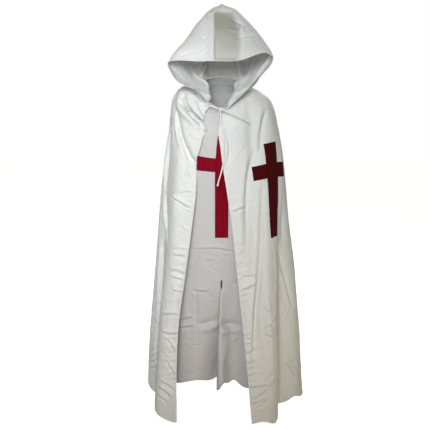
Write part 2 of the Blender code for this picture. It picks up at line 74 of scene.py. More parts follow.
# Each cross: the height of its top, its height and span, the widths of its bar and its arms, and how far
# down the arms begin; then the arms' fall for each metre outwards, the share by which it narrows down,
# and how far aside its top leans. The angles are those of its middle line, at its top and at its foot.
Cross = namedtuple("Cross", "top height span bar arm arm_drop droop taper lean")
SURCOAT_CROSS = Cross(-0.216, 0.445, 0.215, 0.059, 0.058, 0.094, 0.0, 0.0, 0.0126)
MANTLE_CROSS = Cross(-0.245, 0.412, 0.184, 0.060, 0.063, 0.087, 0.11, 0.16, -0.009)
SURCOAT_CROSS_ANGLES = (0.0, 0.0)
MANTLE_CROSS_ANGLES = (65.3, 58.2)

# How a cross is laid: its grid's step, how close its points stand beside its edges, and its heights.
CROSS_STEP = 0.0028
CROSS_MARGIN = 0.0011
CROSS_BELOW = 0.0002  # where a cross's underside lies above its panel
CROSS_EDGE = 0.0005  # where its top lies at its sewn edges
CROSS_SWELL = 0.0009  # and how much higher in between
ZIGZAG_PITCH = 0.0016

# A garment's levels: heights, reaches from the neck's axis and the exponent that squares the section.
# The mantle's also give the angles of its two front edges, and the surcoat's half the armhole's opening.
MantleLevel = namedtuple(
    "MantleLevel", "z_front z_right z_left z_back right left front back square edge_right edge_left"
)
MANTLE_LEVELS = table(
    MantleLevel,
    (-0.112, 0.012, 0.008, 0.03, 0.08, 0.08, 0.124, 0.082, 2, -24.5, 2),
    (-0.134, -0.002, -0.014, 0.01, 0.128, 0.126, 0.136, 0.098, 2, -28, -0.5),
    (-0.162, -0.018, -0.04, -0.022, 0.182, 0.17, 0.145, 0.116, 2, -30, -3),
    (-0.2, -0.07, -0.084, -0.08, 0.218, 0.223, 0.151, 0.13, 2.05, -27, -5.5),
    (-0.262, -0.215, -0.222, -0.21, 0.236, 0.262, 0.158, 0.141, 2.05, -31, -2),
    (-0.345, -0.325, -0.33, -0.32, 0.25, 0.283, 0.166, 0.153, 2.05, -35.5, 1.7),
    (-0.455, -0.445, -0.45, -0.44, 0.264, 0.295, 0.18, 0.168, 2.1, -34, 7.3),
    (-0.61, -0.605, -0.605, -0.6, 0.278, 0.307, 0.198, 0.187, 2.15, -36, 13),
    (-0.81, -0.805, -0.805, -0.8, 0.297, 0.329, 0.222, 0.212, 2.2, -39, 17.2),
    (-1.03, -1.02, -1.02, -1.015, 0.316, 0.351, 0.25, 0.24, 2.3, -41.3, 20.6),
    (-1.26, -1.245, -1.24, -1.235, 0.334, 0.373, 0.278, 0.266, 2.4, -39.8, 23),
    (-1.494, -1.454, -1.45, -1.452, 0.343, 0.388, 0.303, 0.29, 2.4, -37.6, 25),
)
SurcoatLevel = namedtuple("SurcoatLevel", "z_front z_side z_back half front back square armhole")
SURCOAT_LEVELS = table(
    SurcoatLevel,
    (-0.1, -0.01, 0.004, 0.082, 0.095, 0.073, 2, 0), (-0.124, -0.027, -0.018, 0.126, 0.109, 0.088, 2, 0),
    (-0.158, -0.04, -0.05, 0.166, 0.122, 0.104, 2.1, 0),
    (-0.208, -0.095, -0.1, 0.19, 0.131, 0.115, 2.3, 27),
    (-0.272, -0.225, -0.22, 0.203, 0.137, 0.121, 2.5, 33),
    (-0.345, -0.325, -0.32, 0.213, 0.14, 0.124, 2.7, 21),
    (-0.45, -0.44, -0.435, 0.222, 0.139, 0.126, 2.8, 0), (-0.6, -0.592, -0.59, 0.228, 0.14, 0.13, 2.9, 0),
    (-0.8, -0.792, -0.79, 0.236, 0.146, 0.138, 3, 0), (-1, -0.995, -0.99, 0.244, 0.153, 0.146, 3, 0),
    (-1.2, -1.195, -1.19, 0.252, 0.161, 0.154, 3, 0), (-1.376, -1.384, -1.38, 0.26, 0.169, 0.162, 3, 0),
)
LAST_LEVEL = 11

# The largest folds: levels, angles, half width in degrees, and depths. The solids have most of them too.
Fold = namedtuple("Fold", "start end angle_start angle_end half_width depth_start depth_end")
MANTLE_FOLDS = table(
    Fold,
    (0.3, 2.2, -62, -24, 9, -0.007, -0.01), (1.9, 3.4, -72, -27, 8, -0.008, -0.018),
    (2.6, 5.3, -86, -36, 8, -0.008, -0.015), (4.6, 11, -56, -53, 9, 0.004, 0.024),
    (4.8, 11, -76, -71, 7, -0.006, -0.034), (4.8, 11, -88, -84, 8, 0.003, 0.014),
    (2.6, 10, 46, 33, 6.5, -0.01, -0.01), (4, 11, 56, 38, 9.5, 0.002, 0.021),
    (6.4, 11, 72, 56.5, 8, -0.004, -0.075), (6.4, 11, 86, 76, 8, 0.002, 0.014),
    (4, 11, -108, -106, 8, -0.006, -0.032), (4.5, 11, -124, -123, 9, 0.004, 0.022),
    (4, 11, -141, -143, 8, -0.006, -0.036), (4.5, 11, -158, -161, 9, 0.004, 0.024),
    (3.6, 11, -178, -180, 9, -0.007, -0.038), (4.5, 11, 160, 161, 9, 0.004, 0.026),
    (4, 11, 143, 142, 8, -0.006, -0.034), (4.5, 11, 126, 123, 9, 0.004, 0.022),
    (4.2, 11, 109, 103, 8, -0.006, -0.036),
)
SURCOAT_FOLDS = table(
    Fold,
    (7.5, 11, 18, 20, 14, -0.002, -0.024), (7.5, 11, 42, 42, 12, 0.002, 0.014),
    (6, 11, -70, -72, 11, -0.003, -0.018), (6, 11, 70, 72, 11, -0.003, -0.018),
    (6, 11, -112, -112, 11, -0.003, -0.02), (6, 11, 112, 112, 11, -0.003, -0.02),
    (6, 11, -138, -140, 10, 0.003, 0.014), (6, 11, 138, 140, 10, 0.003, 0.014),
    (6, 11, 180, 180, 14, -0.003, -0.024),
)

# What makes each garment's surface: its levels and folds, and its levels' columns for its right and left.
Garment = namedtuple("Garment", "levels folds sides heights")
MANTLE = Garment(MANTLE_LEVELS, MANTLE_FOLDS, ("right", "left"), ("z_right", "z_left"))
SURCOAT = Garment(SURCOAT_LEVELS, SURCOAT_FOLDS, ("half", "half"), ("z_side", "z_side"))

# How the hems rise and fall: each lift is a bell round its angle, which fades up the cloth.
Lift = namedtuple("Lift", "angle half_width lift")
MANTLE_LIFTS = table(
    Lift,
    (-41, 7, -0.019), (-50, 7, -0.012), (-91, 11, 0.058), (33, 7, 0.008), (43, 6, -0.022),
    (66.5, 3.6, 0.024), (74, 6, 0.007),
)
SURCOAT_RIGHT_LIFTS = table(Lift, (-37, 18, 0.033), (-3, 8, 0.014))
SURCOAT_LEFT_LIFTS = table(Lift, (3.5, 7, 0.042), (19, 8.5, 0.03))

# The hood's ribs, from the face edge back: an angle on the neck seam, then points up to the crown seam.
Rib = namedtuple("Rib", "neck_angle collar jaw cheek temple crown seam")
BACK_RIB = (
    180, (0, 0.104, 0.062), (0, 0.13, 0.112), (0, 0.14, 0.18),
    (0, 0.122, 0.246), (0, 0.086, 0.304), (0, 0.04, 0.336),
)
HOOD_RIGHT = table(
    Rib,
    (24.5, (0.104, -0.126, -0.026), (0.184, -0.116, 0.01), (0.226, -0.106, 0.074),
        (0.204, -0.113, 0.097), (0.088, -0.142, 0.093), (0, -0.16, 0.094)),
    (52, (0.12, -0.074, -0.01), (0.18, -0.068, 0.028), (0.219, -0.064, 0.086),
        (0.184, -0.07, 0.142), (0.094, -0.104, 0.166), (0, -0.122, 0.172)),
    (88, (0.116, 0.002, 0.02), (0.156, 0, 0.056), (0.186, -0.012, 0.122),
        (0.157, -0.028, 0.184), (0.089, -0.056, 0.229), (0, -0.074, 0.24)),
    (124, (0.098, 0.06, 0.04), (0.126, 0.066, 0.084), (0.146, 0.05, 0.158),
        (0.12, 0.02, 0.226), (0.07, -0.01, 0.28), (0, -0.026, 0.296)),
    (154, (0.058, 0.092, 0.052), (0.072, 0.112, 0.102), (0.08, 0.104, 0.172),
        (0.08, 0.072, 0.248), (0.051, 0.038, 0.314), (0, 0.012, 0.331)),
    BACK_RIB,
)
HOOD_LEFT = table(
    Rib,
    (2, (0.088, -0.128, -0.038), (0.136, -0.118, 0.014), (0.21, -0.108, 0.094),
        (0.174, -0.114, 0.127), (0.08, -0.142, 0.098), (0, -0.16, 0.094)),
    (46, (0.118, -0.078, -0.016), (0.16, -0.072, 0.03), (0.211, -0.066, 0.106),
        (0.179, -0.072, 0.158), (0.094, -0.104, 0.17), (0, -0.122, 0.172)),
    (86, (0.116, 0.002, 0.014), (0.148, 0, 0.054), (0.204, -0.012, 0.128),
        (0.173, -0.028, 0.19), (0.096, -0.056, 0.232), (0, -0.074, 0.24)),
    (124, (0.1, 0.06, 0.038), (0.13, 0.066, 0.084), (0.158, 0.05, 0.16),
        (0.138, 0.02, 0.228), (0.08, -0.01, 0.281), (0, -0.026, 0.296)),
    (154, (0.058, 0.092, 0.052), (0.072, 0.112, 0.102), (0.084, 0.104, 0.172),
        (0.088, 0.072, 0.248), (0.057, 0.038, 0.314), (0, 0.012, 0.331)),
    BACK_RIB,
)
HOOD_ROLL = {-1: 0.037, 1: 0.044}  # how far its foot rolls in beside the neck, on the right and left
CROWN_STRIP_DEPTH = 0.017  # how deep the cloth beside the crown's seam sinks

# The tie: its knot, and the routes of its two leads and two free ends.
KNOT_CENTRE = (-0.006, -0.151, -0.100)
KNOT_REACH = (0.0065, 0.0035, 0.0050)
RIGHT_LEAD = (
    (-0.052, -0.131, -0.086), (-0.042, -0.143, -0.088), (-0.026, -0.150, -0.093), (-0.0145, -0.151, -0.0975),
)
LEFT_LEAD = (
    (0.014, -0.1405, -0.0975), (0.011, -0.146, -0.0985), (0.0075, -0.149, -0.0995), (0.0024, -0.151, -0.1000),
)
LONG_END = (
    (-0.006, -0.1515, -0.1070), (-0.0055, -0.157, -0.126), (-0.003, -0.162, -0.155), (0.005, -0.167, -0.190),
    (0.0075, -0.172, -0.235), (0.0055, -0.177, -0.285), (0.0045, -0.181, -0.330), (-0.005, -0.183, -0.370),
    (-0.0135, -0.181, -0.400), (-0.0185, -0.178, -0.423),
)
SHORT_END = (
    (0.0026, -0.1565, -0.1015), (0.018, -0.1585, -0.1070), (0.040, -0.1610, -0.117), (0.064, -0.159, -0.130),
    (0.090, -0.154, -0.142), (0.116, -0.147, -0.155),
)
CORD_LAY = 0.022  # the way along in which a strand goes once round
CORD_SIDES = 20
CORD_STEP = 0.0011
KNOT_CORD = 0.92  # the knot's cord is pulled this much thinner
END_KNOT = 0.35  # and the ends' knots swell the cord by this share
YARN_PITCH = 0.0032

# The smaller creases. Each passes three places, given by level and angle, or on the hood by its shares
# up and back, and then come its half width and its depth. It stands out of the cloth by CREASE_STRENGTH
# times the depth, or sinks where that is below 0, and the cloth turns the other way beside it, on the
# right of its run. What stands out is rounded off near CREST_SHARE of its half width.
CREASE_STRENGTH = 2.5
SMALL_CREASE_STRENGTH = 1.6
CREST_SHARE = 1.1
Crease = namedtuple("Crease", "row_a round_a row_b round_b row_c round_c half_width depth")
BACK_CREASES = table(
    Crease,
    (2.2, 171, 3.2, 154, 4.9, 143, 0.016, -0.0034), (2.9, 190, 3.5, 209, 4.3, 221, 0.013, -0.003),
    (4.4, 160, 4.8, 174, 4.7, 179, 0.012, 0.0008), (6.7, 144, 6.5, 158, 6.6, 173, 0.009, 0.0008),
    (8.5, 116, 8.3, 132, 8.5, 147, 0.008, 0.0009), (8.5, 206, 8.7, 221, 8.6, 236, 0.008, 0.0008),
    (10.2, 126, 10.35, 139, 10.3, 151, 0.007, 0.001), (10.4, 212, 10.25, 225, 10.4, 238, 0.008, 0.0009),
)
CREASES = {
    "mantle_front_right": table(
        Crease,
        (1.2, -66, 0.58, -52, 0.05, -32, 0.013, -0.008), (2.64, -70, 2.8, -49.5, 2.9, -21, 0.012, -0.016),
        (2.34, -66, 2.48, -47, 2.56, -21, 0.013, 0.009), (3.2, -71.6, 3.9, -61.5, 4.8, -44, 0.009, -0.008),
        (4.45, -54.1, 4.8, -45.7, 4.91, -32.3, 0.009, -0.005),
        (10.11, -80.3, 10.02, -77.4, 9.92, -74.8, 0.006, 0.007),
        (9.96, -81.2, 9.87, -78.3, 9.77, -75.8, 0.006, 0.007),
        (5.07, -47.6, 5.4, -43.2, 5.4, -36, 0.006, -0.004),
        (6.17, -64, 6.3, -50.4, 6.46, -34.6, 0.006, 0.005),
        (6.04, -52.9, 5.97, -45.3, 5.95, -34.5, 0.005, 0.003),
        (6.41, -50.1, 6.42, -44.7, 6.47, -40.1, 0.004, 0.002),
        (3.61, -83.3, 4.85, -82.1, 6.18, -78.3, 0.012, -0.005),
        (6.18, -78.3, 6.95, -74.1, 7.43, -61.1, 0.009, -0.004),
        (7.45, -77, 8.27, -76.6, 9.34, -75.1, 0.008, -0.006),
        (9.34, -75.1, 9.91, -74.9, 10.6, -70, 0.008, -0.006),
        (7.95, -53.5, 7.92, -47.2, 7.95, -39, 0.0072, 0.0055),
        (8.08, -52.9, 8.08, -47.4, 8.13, -39, 0.006, 0.0044),
        (8.35, -49.9, 8.35, -46.2, 8.38, -39.2, 0.006, 0.0044),
        (7.48, -53.9, 7.45, -48, 7.44, -37.2, 0.006, 0.0033),
        (7.6, -53.3, 7.6, -47.4, 7.6, -37.2, 0.006, 0.0033),
        (8.93, -60.9, 8.85, -50.8, 8.82, -41, 0.0065, 0.0048),
        (9.24, -57.1, 9.24, -48.7, 9.21, -41, 0.0078, 0.006),
        (9.39, -47.8, 9.46, -45.1, 9.57, -40.6, 0.0065, 0.0048),
        (9.8, -47.2, 9.91, -44.3, 10.05, -39.6, 0.0065, 0.0048),
        (10.23, -52.7, 10.28, -45.5, 10.38, -38.8, 0.0078, 0.006),
        (10.38, -52.5, 10.44, -46.8, 10.55, -41.5, 0.0078, 0.006),
        (10.55, -53.1, 10.61, -48.5, 10.68, -44.9, 0.0078, 0.0048),
        (10.25, -79.9, 10.14, -76.8, 10.02, -73.8, 0.006, 0.007),
        (10.39, -79.3, 10.29, -76.6, 10.18, -73.6, 0.006, 0.007),
    ),
    "mantle_front_left": table(
        Crease,
        (10.61, 37.2, 10.67, 34.3, 10.74, 30.3, 0.007, 0.005),
        (10.11, 44.2, 10.17, 40.5, 10.28, 38, 0.008, 0.005),
        (8.99, 41.1, 9.09, 43.4, 9.15, 40.5, 0.006, 0.004),
        (8.53, 40.1, 9.14, 38.8, 9.65, 39, 0.008, -0.004),
        (8.35, 44.8, 9.15, 43.2, 9.95, 42.6, 0.008, 0.003),
        (6.51, 12.3, 6.4, 22.8, 6.36, 31.1, 0.006, 0.005), (3, 66, 3.63, 56.5, 4.5, 51, 0.011, -0.006),
        (3.55, 85.3, 5.7, 76, 7.49, 71.6, 0.009, -0.004), (8, 17.7, 7.98, 27, 8.01, 35.5, 0.0063, 0.0044),
        (8.27, 17.5, 8.22, 28.5, 8.12, 38.5, 0.0085, 0.0066),
        (8.39, 18.5, 8.38, 23.1, 8.36, 27, 0.0063, 0.0044),
        (9.21, 20.2, 9.21, 22.8, 9.28, 26.8, 0.0084, 0.006),
        (9.35, 21, 9.35, 26.2, 9.31, 30.9, 0.007, 0.006), (9.52, 21.2, 9.51, 26, 9.48, 30.5, 0.007, 0.0048),
        (9.68, 22.5, 9.73, 27, 9.78, 31.5, 0.0085, 0.006),
        (9.81, 22.4, 9.84, 26, 9.85, 29.7, 0.007, 0.0048),
        (9.95, 22.7, 9.96, 26.6, 9.95, 29.5, 0.007, 0.0048),
        (10.17, 22.5, 10.2, 29.7, 10.2, 38.3, 0.0085, 0.0072),
        (10.24, 24.1, 10.24, 31.1, 10.22, 37.4, 0.007, 0.0048),
        (10.44, 24.3, 10.39, 31.4, 10.29, 38, 0.0084, 0.006),
        (10.56, 24.5, 10.52, 30.3, 10.44, 36.1, 0.0084, 0.006),
        (10.66, 29.7, 10.57, 33.6, 10.49, 37.4, 0.007, 0.0048),
        (7.3, 66, 8.27, 71.6, 8.95, 74.2, 0.008, -0.005), (7, 58, 8, 59, 9.2, 49.5, 0.008, -0.005),
        (5.6, 51, 7.4, 43, 8.8, 34, 0.01, -0.006), (7.9, 40.8, 8.8, 34, 9.9, 28, 0.01, -0.007),
        (4.2, 47, 5.8, 34.7, 7.7, 27, 0.013, -0.005), (2.5, 5.5, 3.87, 11.9, 4.9, 8.8, 0.007, -0.004),
        (8.69, 41.8, 8.75, 44.8, 8.82, 48.1, 0.005, 0.0033),
        (9.12, 38.2, 9.01, 43, 8.93, 48.5, 0.007, 0.0048), (9.2, 39.3, 9.23, 43, 9.28, 48.3, 0.007, 0.0048),
        (10.03, 65.2, 10.27, 68.1, 10.52, 71, 0.007, 0.009),
        (9.93, 67.2, 10.07, 69.3, 10.25, 71.8, 0.006, 0.008),
        (10.28, 67, 10.46, 68.7, 10.63, 69.8, 0.006, 0.008),
    ),
    "surcoat_front": table(
        Crease,
        (7.57, -46, 7.53, -12, 7.6, 26, 0.005, 0.0035),
        (7.82, -26.4, 7.79, -17.5, 7.79, -10.4, 0.005, 0.002),
        (8.5, -42.9, 8.52, -33.1, 8.5, -22, 0.006, 0.004),
        (8.55, -38.6, 9.03, -38.3, 9.54, -37.4, 0.006, -0.004),
        (9.54, -37.4, 9.69, -36.5, 9.83, -34.5, 0.005, -0.003),
        (7.37, 3.1, 7.86, 4.2, 8.2, 4.7, 0.004, 0.0015), (9.36, -36, 9.33, -6, 9.38, 34, 0.015, -0.012),
        (9.46, -59.2, 9.4, -49.6, 9.36, -40.6, 0.006, 0.006),
        (9.29, -58.7, 9.19, -50, 9.15, -42.2, 0.007, 0.004),
        (9.83, -41.6, 9.83, -37.3, 9.8, -33, 0.004, 0.003),
        (10.6, -44.3, 10.57, -38.8, 10.54, -34, 0.004, 0.003),
    ),
    "hood_right": table(
        Crease,
        (0.7, 0.08, 0.79, 0.1, 0.91, 0.17, 0.006, -0.006),
        (0.84, 0.68, 0.88, 0.63, 0.92, 0.57, 0.005, 0.003),
        (0.37, 0.56, 0.16, 0.45, 0.04, 0.24, 0.007, -0.004),
        (0.33, 0.84, 0.2, 0.68, 0.08, 0.46, 0.009, -0.005),
        (0.55, 0.78, 0.26, 0.74, 0.05, 0.56, 0.018, -0.014),
        (0.86, 0.26, 0.88, 0.25, 0.9, 0.25, 0.004, -0.003),
    ),
    "hood_left": table(
        Crease,
        (0.94, 0.37, 0.88, 0.35, 0.81, 0.41, 0.006, 0.005),
        (0.6, 0.34, 0.34, 0.3, 0.08, 0.12, 0.006, -0.005), (0.4, 0.55, 0.27, 0.42, 0.1, 0.2, 0.006, 0.005),
        (0.38, 0.64, 0.14, 0.4, 0.12, 0.08, 0.006, -0.006),
        (0.38, 0.74, 0.11, 0.5, 0.02, 0.18, 0.008, 0.006),
        (0.55, 0.78, 0.26, 0.74, 0.05, 0.56, 0.018, -0.014),
        (0.91, 0.56, 0.86, 0.45, 0.82, 0.34, 0.007, -0.004),
        (0.9, 0.28, 0.82, 0.29, 0.72, 0.37, 0.005, -0.004),
    ),
    "mantle_back_right": BACK_CREASES,
    "mantle_back_left": BACK_CREASES,
    "surcoat_back": BACK_CREASES,
}

# Each panel: its grid, the number and the seed of its small creases, the size of the cloth that it is
# cut from, its area, and what its top, bottom, first and last edges are. The surcoat's sides are sewn
# below their armholes and hemmed beside them, which its own functions work out.
Panel = namedtuple("Panel", "rows columns crumples seed flat area edges")
PANELS = {
    "mantle_front_right": Panel(400, 96, 150, 11, (0.62, 1.55), 0.440, ("neck", "hem", "seam", "hem")),
    "mantle_front_left": Panel(390, 118, 190, 12, (0.74, 1.55), 0.607, ("neck", "hem", "hem", "seam")),
    "mantle_back_right": Panel(240, 80, 150, 13, (0.74, 1.56), 0.592, ("neck", "hem", "seam", "seam")),
    "mantle_back_left": Panel(240, 80, 150, 14, (0.74, 1.56), 0.619, ("neck", "hem", "seam", "seam")),
    "hood_right": Panel(110, 110, 34, 15, (0.36, 0.55), 0.141, ("neck", "seam", "hem", "seam")),
    "hood_left": Panel(110, 110, 34, 16, (0.36, 0.55), 0.175, ("neck", "seam", "seam", "hem")),
    "surcoat_front": Panel(370, 112, 170, 17, (0.86, 1.45), 0.808, ("hem", "hem")),
    "surcoat_back": Panel(200, 80, 130, 18, (0.76, 1.45), 0.784, ("hem", "hem")),
}
HEM_WIDTH = 0.016
HEM_RISE = 0.0008
HEM_THICKNESS = 0.0007  # what the turned hem adds to the cloth
STITCH_PITCH = 0.0042
FELLING = 0.009  # from a seam to its felled stitches
FAR = 1.0  # stands for the distance to a kind of edge that a panel hasn't got

# How far the cloth leaves its folded form: its slack as a share of each wave's length, the gathers below
# the mantle's neck, the puckers at its front edges, the surcoat's right and left flap, where the mantle's
# right and left shoulder press it in, how the slit gapes and its flaps lap, and the crown seam's sway.
SLACK = 0.006
NECK_GATHER = 0.0016
EDGE_RIPPLE = 0.0030
RIGHT_FLAP, LEFT_FLAP = -0.105, 0.060
RIGHT_PRESS, LEFT_PRESS = 0.028, 0.006
SLIT_GAPE, SLIT_LAP = 0.0042, 0.007
CROWN_SWAY = 0.040

# The studio: its square area lights, whose powers are properties, and the camera.
Light = namedtuple("Light", "place target size colour spread")
LIGHTS = {
    "key": Light((-0.35, -2.25, 0.70), (-0.80, 0.0, -0.20), 0.9, (0.90, 0.96, 1.0), 74),
    "front": Light((-0.10, -2.50, -0.3), (-0.4, 0.0, -0.88), 0.8, (1.0, 0.96, 1.0), 80),
    "warm": Light((0.80, -1.90, -0.9), (0.3, 0.0, -1.3), 0.7, (1.0, 0.78, 0.34), 70),
    "back": Light((0.9, 2.4, 1.3), (0.0, 0.0, -0.4), 1.2, (1.0, 1.0, 1.0), 180),
}
CAMERA_PLACE = (-0.029, -2.65, 0.05)
CAMERA_TILT = 76.4
FLOOR_REACH = 9.0
WHITE = (1.0, 1.0, 1.0, 1.0)
SKY_COLOUR = (1.0, 0.955, 0.80, 1.0)
FLOOR_DARK, FLOOR_LIGHT = (0.90, 0.90, 0.90, 1.0), (0.93, 0.93, 0.93, 1.0)
# The colour of the painted shade that the cotton mixes in along the strip beside the hood's crown seam.
STRIP_SHADE_COLOUR = (0.34, 0.335, 0.265, 1.0)


# ---- the forms of the garments


def through(values, at):
    """A smooth curve through evenly numbered values, read at the numbers in at (Catmull and Rom's)."""
    values = np.asarray(values, float)
    at = np.clip(np.asarray(at, float), 0, len(values) - 1)
    padded = np.concatenate([[2 * values[0] - values[1]], values, [2 * values[-1] - values[-2]]])
    first = np.minimum(at.astype(int), len(values) - 2)
    part = (at - first).reshape(at.shape + (1,) * (values.ndim - 1))
    a, b, c, d = (padded[first + k] for k in range(4))
    slope, bend, twist = c - a, 2 * a - 5 * b + 4 * c - d, 3 * b - a - 3 * c + d
    return b + 0.5 * part * (slope + part * (bend + part * twist))


def column(levels, name, level):
    """One column of a garment's levels, read at these levels."""
    return through([getattr(row, name) for row in levels], level)


def smooth_step(low, high, value):
    """0 below low, 1 above high, and an even rise between."""
    share = np.clip((value - low) / (high - low), 0, 1)
    return share * share * (3 - 2 * share)


def smooth_fall(low, high, value):
    """1 below low, 0 above high, and an even fall between."""
    return 1 - smooth_step(low, high, value)


def bell(value, half_width):
    """1 at 0 and falling off on both sides, as the exponential of minus the square."""
    return np.exp(-((value / half_width) ** 2))


def crest(value):
    """A bell with a crisp top: the exponential of -1.3 times the rounded size of the value."""
    return np.exp(-1.3 * (np.sqrt(value**2 + 0.12) - 0.346))


def between(start, stop, share):
    """The value at a share of the way from start to stop."""
    return start + (stop - start) * share


def turn_between(angle, other):
    """The angle from other to angle, from -180 to 180 degrees."""
    return (angle - other + 180) % 360 - 180


def unit(vectors):
    """Vectors cut to a length of 1."""
    return vectors / np.linalg.norm(vectors, axis=-1, keepdims=True)


def folded(folds, level, angle):
    """How far the folds move the cloth out: a bell across each fold, times its depth along it."""
    height = np.zeros(np.broadcast(level, angle).shape)
    for fold in folds:
        along = (level - fold.start) / (fold.end - fold.start)
        share = np.clip(along, 0, 1)
        middle = between(fold.angle_start, fold.angle_end, share)
        fade = smooth_step(-0.18, 0.06, along) * smooth_fall(1.0, 1.2, along)
        depth = between(fold.depth_start, fold.depth_end, share)
        height += depth * fade * bell(turn_between(angle, middle), fold.half_width)
    return height


def section_point(garment, level, angle):
    """A squared oval round the neck's axis: the radius is the sum of |sine / side| and |cosine / depth|,
    each to the power square, to the power -1 / square. The height passes from the side's to the front's
    or the back's as the cosine squared."""

    def pick(first, names):
        """The first of two columns where the condition holds, and the second elsewhere."""
        return np.where(first, *(column(garment.levels, name, level) for name in names))

    turn = np.radians(angle)
    sine, cosine = np.sin(turn), np.cos(turn)
    side, z_side = pick(sine < 0, garment.sides), pick(sine < 0, garment.heights)
    depth, z_end = pick(cosine > 0, ("front", "back")), pick(cosine > 0, ("z_front", "z_back"))
    square = column(garment.levels, "square", level)
    radius = (np.abs(sine / side) ** square + np.abs(cosine / depth) ** square) ** (-1 / square)
    return np.stack([radius * sine, -radius * cosine, z_side + (z_end - z_side) * cosine**2], axis=-1)


def outward(garment, level, angle):
    """The unit normal, away from the body: the cross product of the ways down and round the cloth."""
    step, turn = 1e-3, 0.03
    level = np.clip(level, step, LAST_LEVEL - step)
    down = section_point(garment, level + step, angle) - section_point(garment, level - step, angle)
    beside = section_point(garment, level, angle + turn) - section_point(garment, level, angle - turn)
    return unit(np.cross(down, beside))


def garment_point(garment, level, angle, more=0.0):
    """The garment's plain section, moved out along its normal by its folds and by more."""
    level, angle = np.broadcast_arrays(np.asarray(level, float), np.asarray(angle, float))
    height = folded(garment.folds, level, angle) + more
    return section_point(garment, level, angle) + height[..., None] * outward(garment, level, angle)


def mantle_point(level, angle):
    """The mantle's folded section."""
    return garment_point(MANTLE, level, angle)


def surcoat_point(level, angle, flap=0):
    """The surcoat's folded section and the flaps beside its slit: the wearer's right one, where flap is
    -1, falls back and the left one, where it is 1, stands forward, each as a bell of the angle."""
    opened = smooth_step(8.15, 11.6, level)
    right, left = RIGHT_FLAP * opened * bell(angle, 24.0), LEFT_FLAP * opened * bell(angle, 10.0)
    return garment_point(SURCOAT, level, angle, np.where(flap < 0, right, np.where(flap > 0, left, 0.0)))


def hood_surface(ribs, side, ups, backs):
    """A hood panel: a smooth curve up each rib from the neck seam to the crown, and smooth curves back
    through the ribs. side is -1 for the wearer's right."""
    reach = np.asarray(backs, float) * (len(ribs) - 1)
    neck_angles = through([rib.neck_angle for rib in ribs], reach)
    neck = mantle_point(0.0, neck_angles * side) * [side, 1, 1] + [0, 0, NECK_RISE]
    upper = through([rib[1:] for rib in ribs], reach)
    net = np.concatenate([neck[:, None], upper], axis=1)
    grid = through(np.moveaxis(net, 1, 0), np.asarray(ups, float) * (net.shape[1] - 1))
    grid[..., 0] = np.maximum(grid[..., 0], SEAM_GAP / 2)
    return grid * [side, 1, 1]


def level_at(surface, angle, height):
    """The level at which a surface passes a height at an angle."""
    steps = np.linspace(0, LAST_LEVEL, 400)
    heights = surface(steps, np.full_like(steps, angle))[..., 2]
    return np.interp(-np.asarray(height), -heights, steps)


def angle_of(surface, level, angle, distance):
    """The angle that lies a distance round the cloth from another angle, reached in small strides."""
    strides, step = 8, 0.5
    for _ in range(strides):
        ahead, behind = surface(level, angle + step), surface(level, angle - step)
        per_degree = np.linalg.norm(ahead - behind, axis=-1) / (2 * step)
        angle = angle + distance / strides / per_degree
    return angle


# ---- cloth on those forms


def grid_normals(points):
    """Each grid point's unit normal, the sum of its cells' cross products."""
    down, beside = np.diff(points, axis=0), np.diff(points, axis=1)
    faces = np.cross(down[:, :-1] + down[:, 1:], beside[:-1] + beside[1:])
    normals = np.zeros_like(points)
    for rows in (slice(None, -1), slice(1, None)):
        for columns in (slice(None, -1), slice(1, None)):
            normals[rows, columns] += faces
    return unit(normals)


def arc_lengths(points, axis):
    """How far each grid point lies along its column (axis 0) or row (axis 1), over the cloth."""
    steps = np.linalg.norm(np.diff(points, axis=axis), axis=-1)
    start = np.zeros_like(np.take(steps, [0], axis))
    return np.concatenate([start, np.cumsum(steps, axis)], axis)


def even_levels(surface, angle, name):
    """A panel's levels, whose points stand evenly apart down the surface's line at an angle."""
    steps = np.linspace(0, LAST_LEVEL, 1200)
    length = arc_lengths(surface(steps, np.full_like(steps, angle)), 0)
    return np.interp(np.linspace(0, length[-1], PANELS[name].rows), length, steps)


def edge_shares(count):
    """Shares from 0 to 1 that stand closer at both ends: 0.6 of an even run and 0.4 of a cosine."""
    even = np.linspace(0, 1, count)
    return 0.6 * even + 0.4 * (0.5 - 0.5 * np.cos(np.pi * even))


def crease_height(creases, line_at, points, normals):
    """How far the creases move the cloth. Across a crease its height is a crest of the distance from its
    line, less half a bell 1.8 half widths to the right of it; along the crease it is a power of a half
    sine. What stands out is rounded off by a hyperbolic tangent near a share of the half width."""
    height = np.zeros(points.shape[:2])
    share = np.linspace(0, 2, 17)
    for crease in creases:
        line = line_at(*(through(crease[start:6:2], share) for start in (0, 1)))
        reach = 3.6 * crease.half_width
        near = np.all((points > line.min(0) - reach) & (points < line.max(0) + reach), axis=-1)
        run = np.diff(line, axis=0)
        off = points[near][:, None] - line[:-1]
        along = np.clip((off * run).sum(-1) / (run**2).sum(-1), 0, 1)
        gap = off - along[..., None] * run
        distance = np.linalg.norm(gap, axis=-1)
        best = distance.argmin(1)
        pick = (np.arange(len(best)), best)
        travel = (best + along[pick]) / len(run)
        right = np.cross(run[best], normals[near])
        place = distance[pick] * np.sign((gap[pick] * right).sum(-1)) / crease.half_width
        profile = crest(place) - 0.5 * bell(place - 1.8, 1.0)
        rise = CREASE_STRENGTH * crease.depth * np.sin(np.pi * travel) ** 0.7 * profile
        top = CREST_SHARE * crease.half_width
        height[near] += np.where(rise > 0, top * np.tanh(rise / top), rise)
    return height


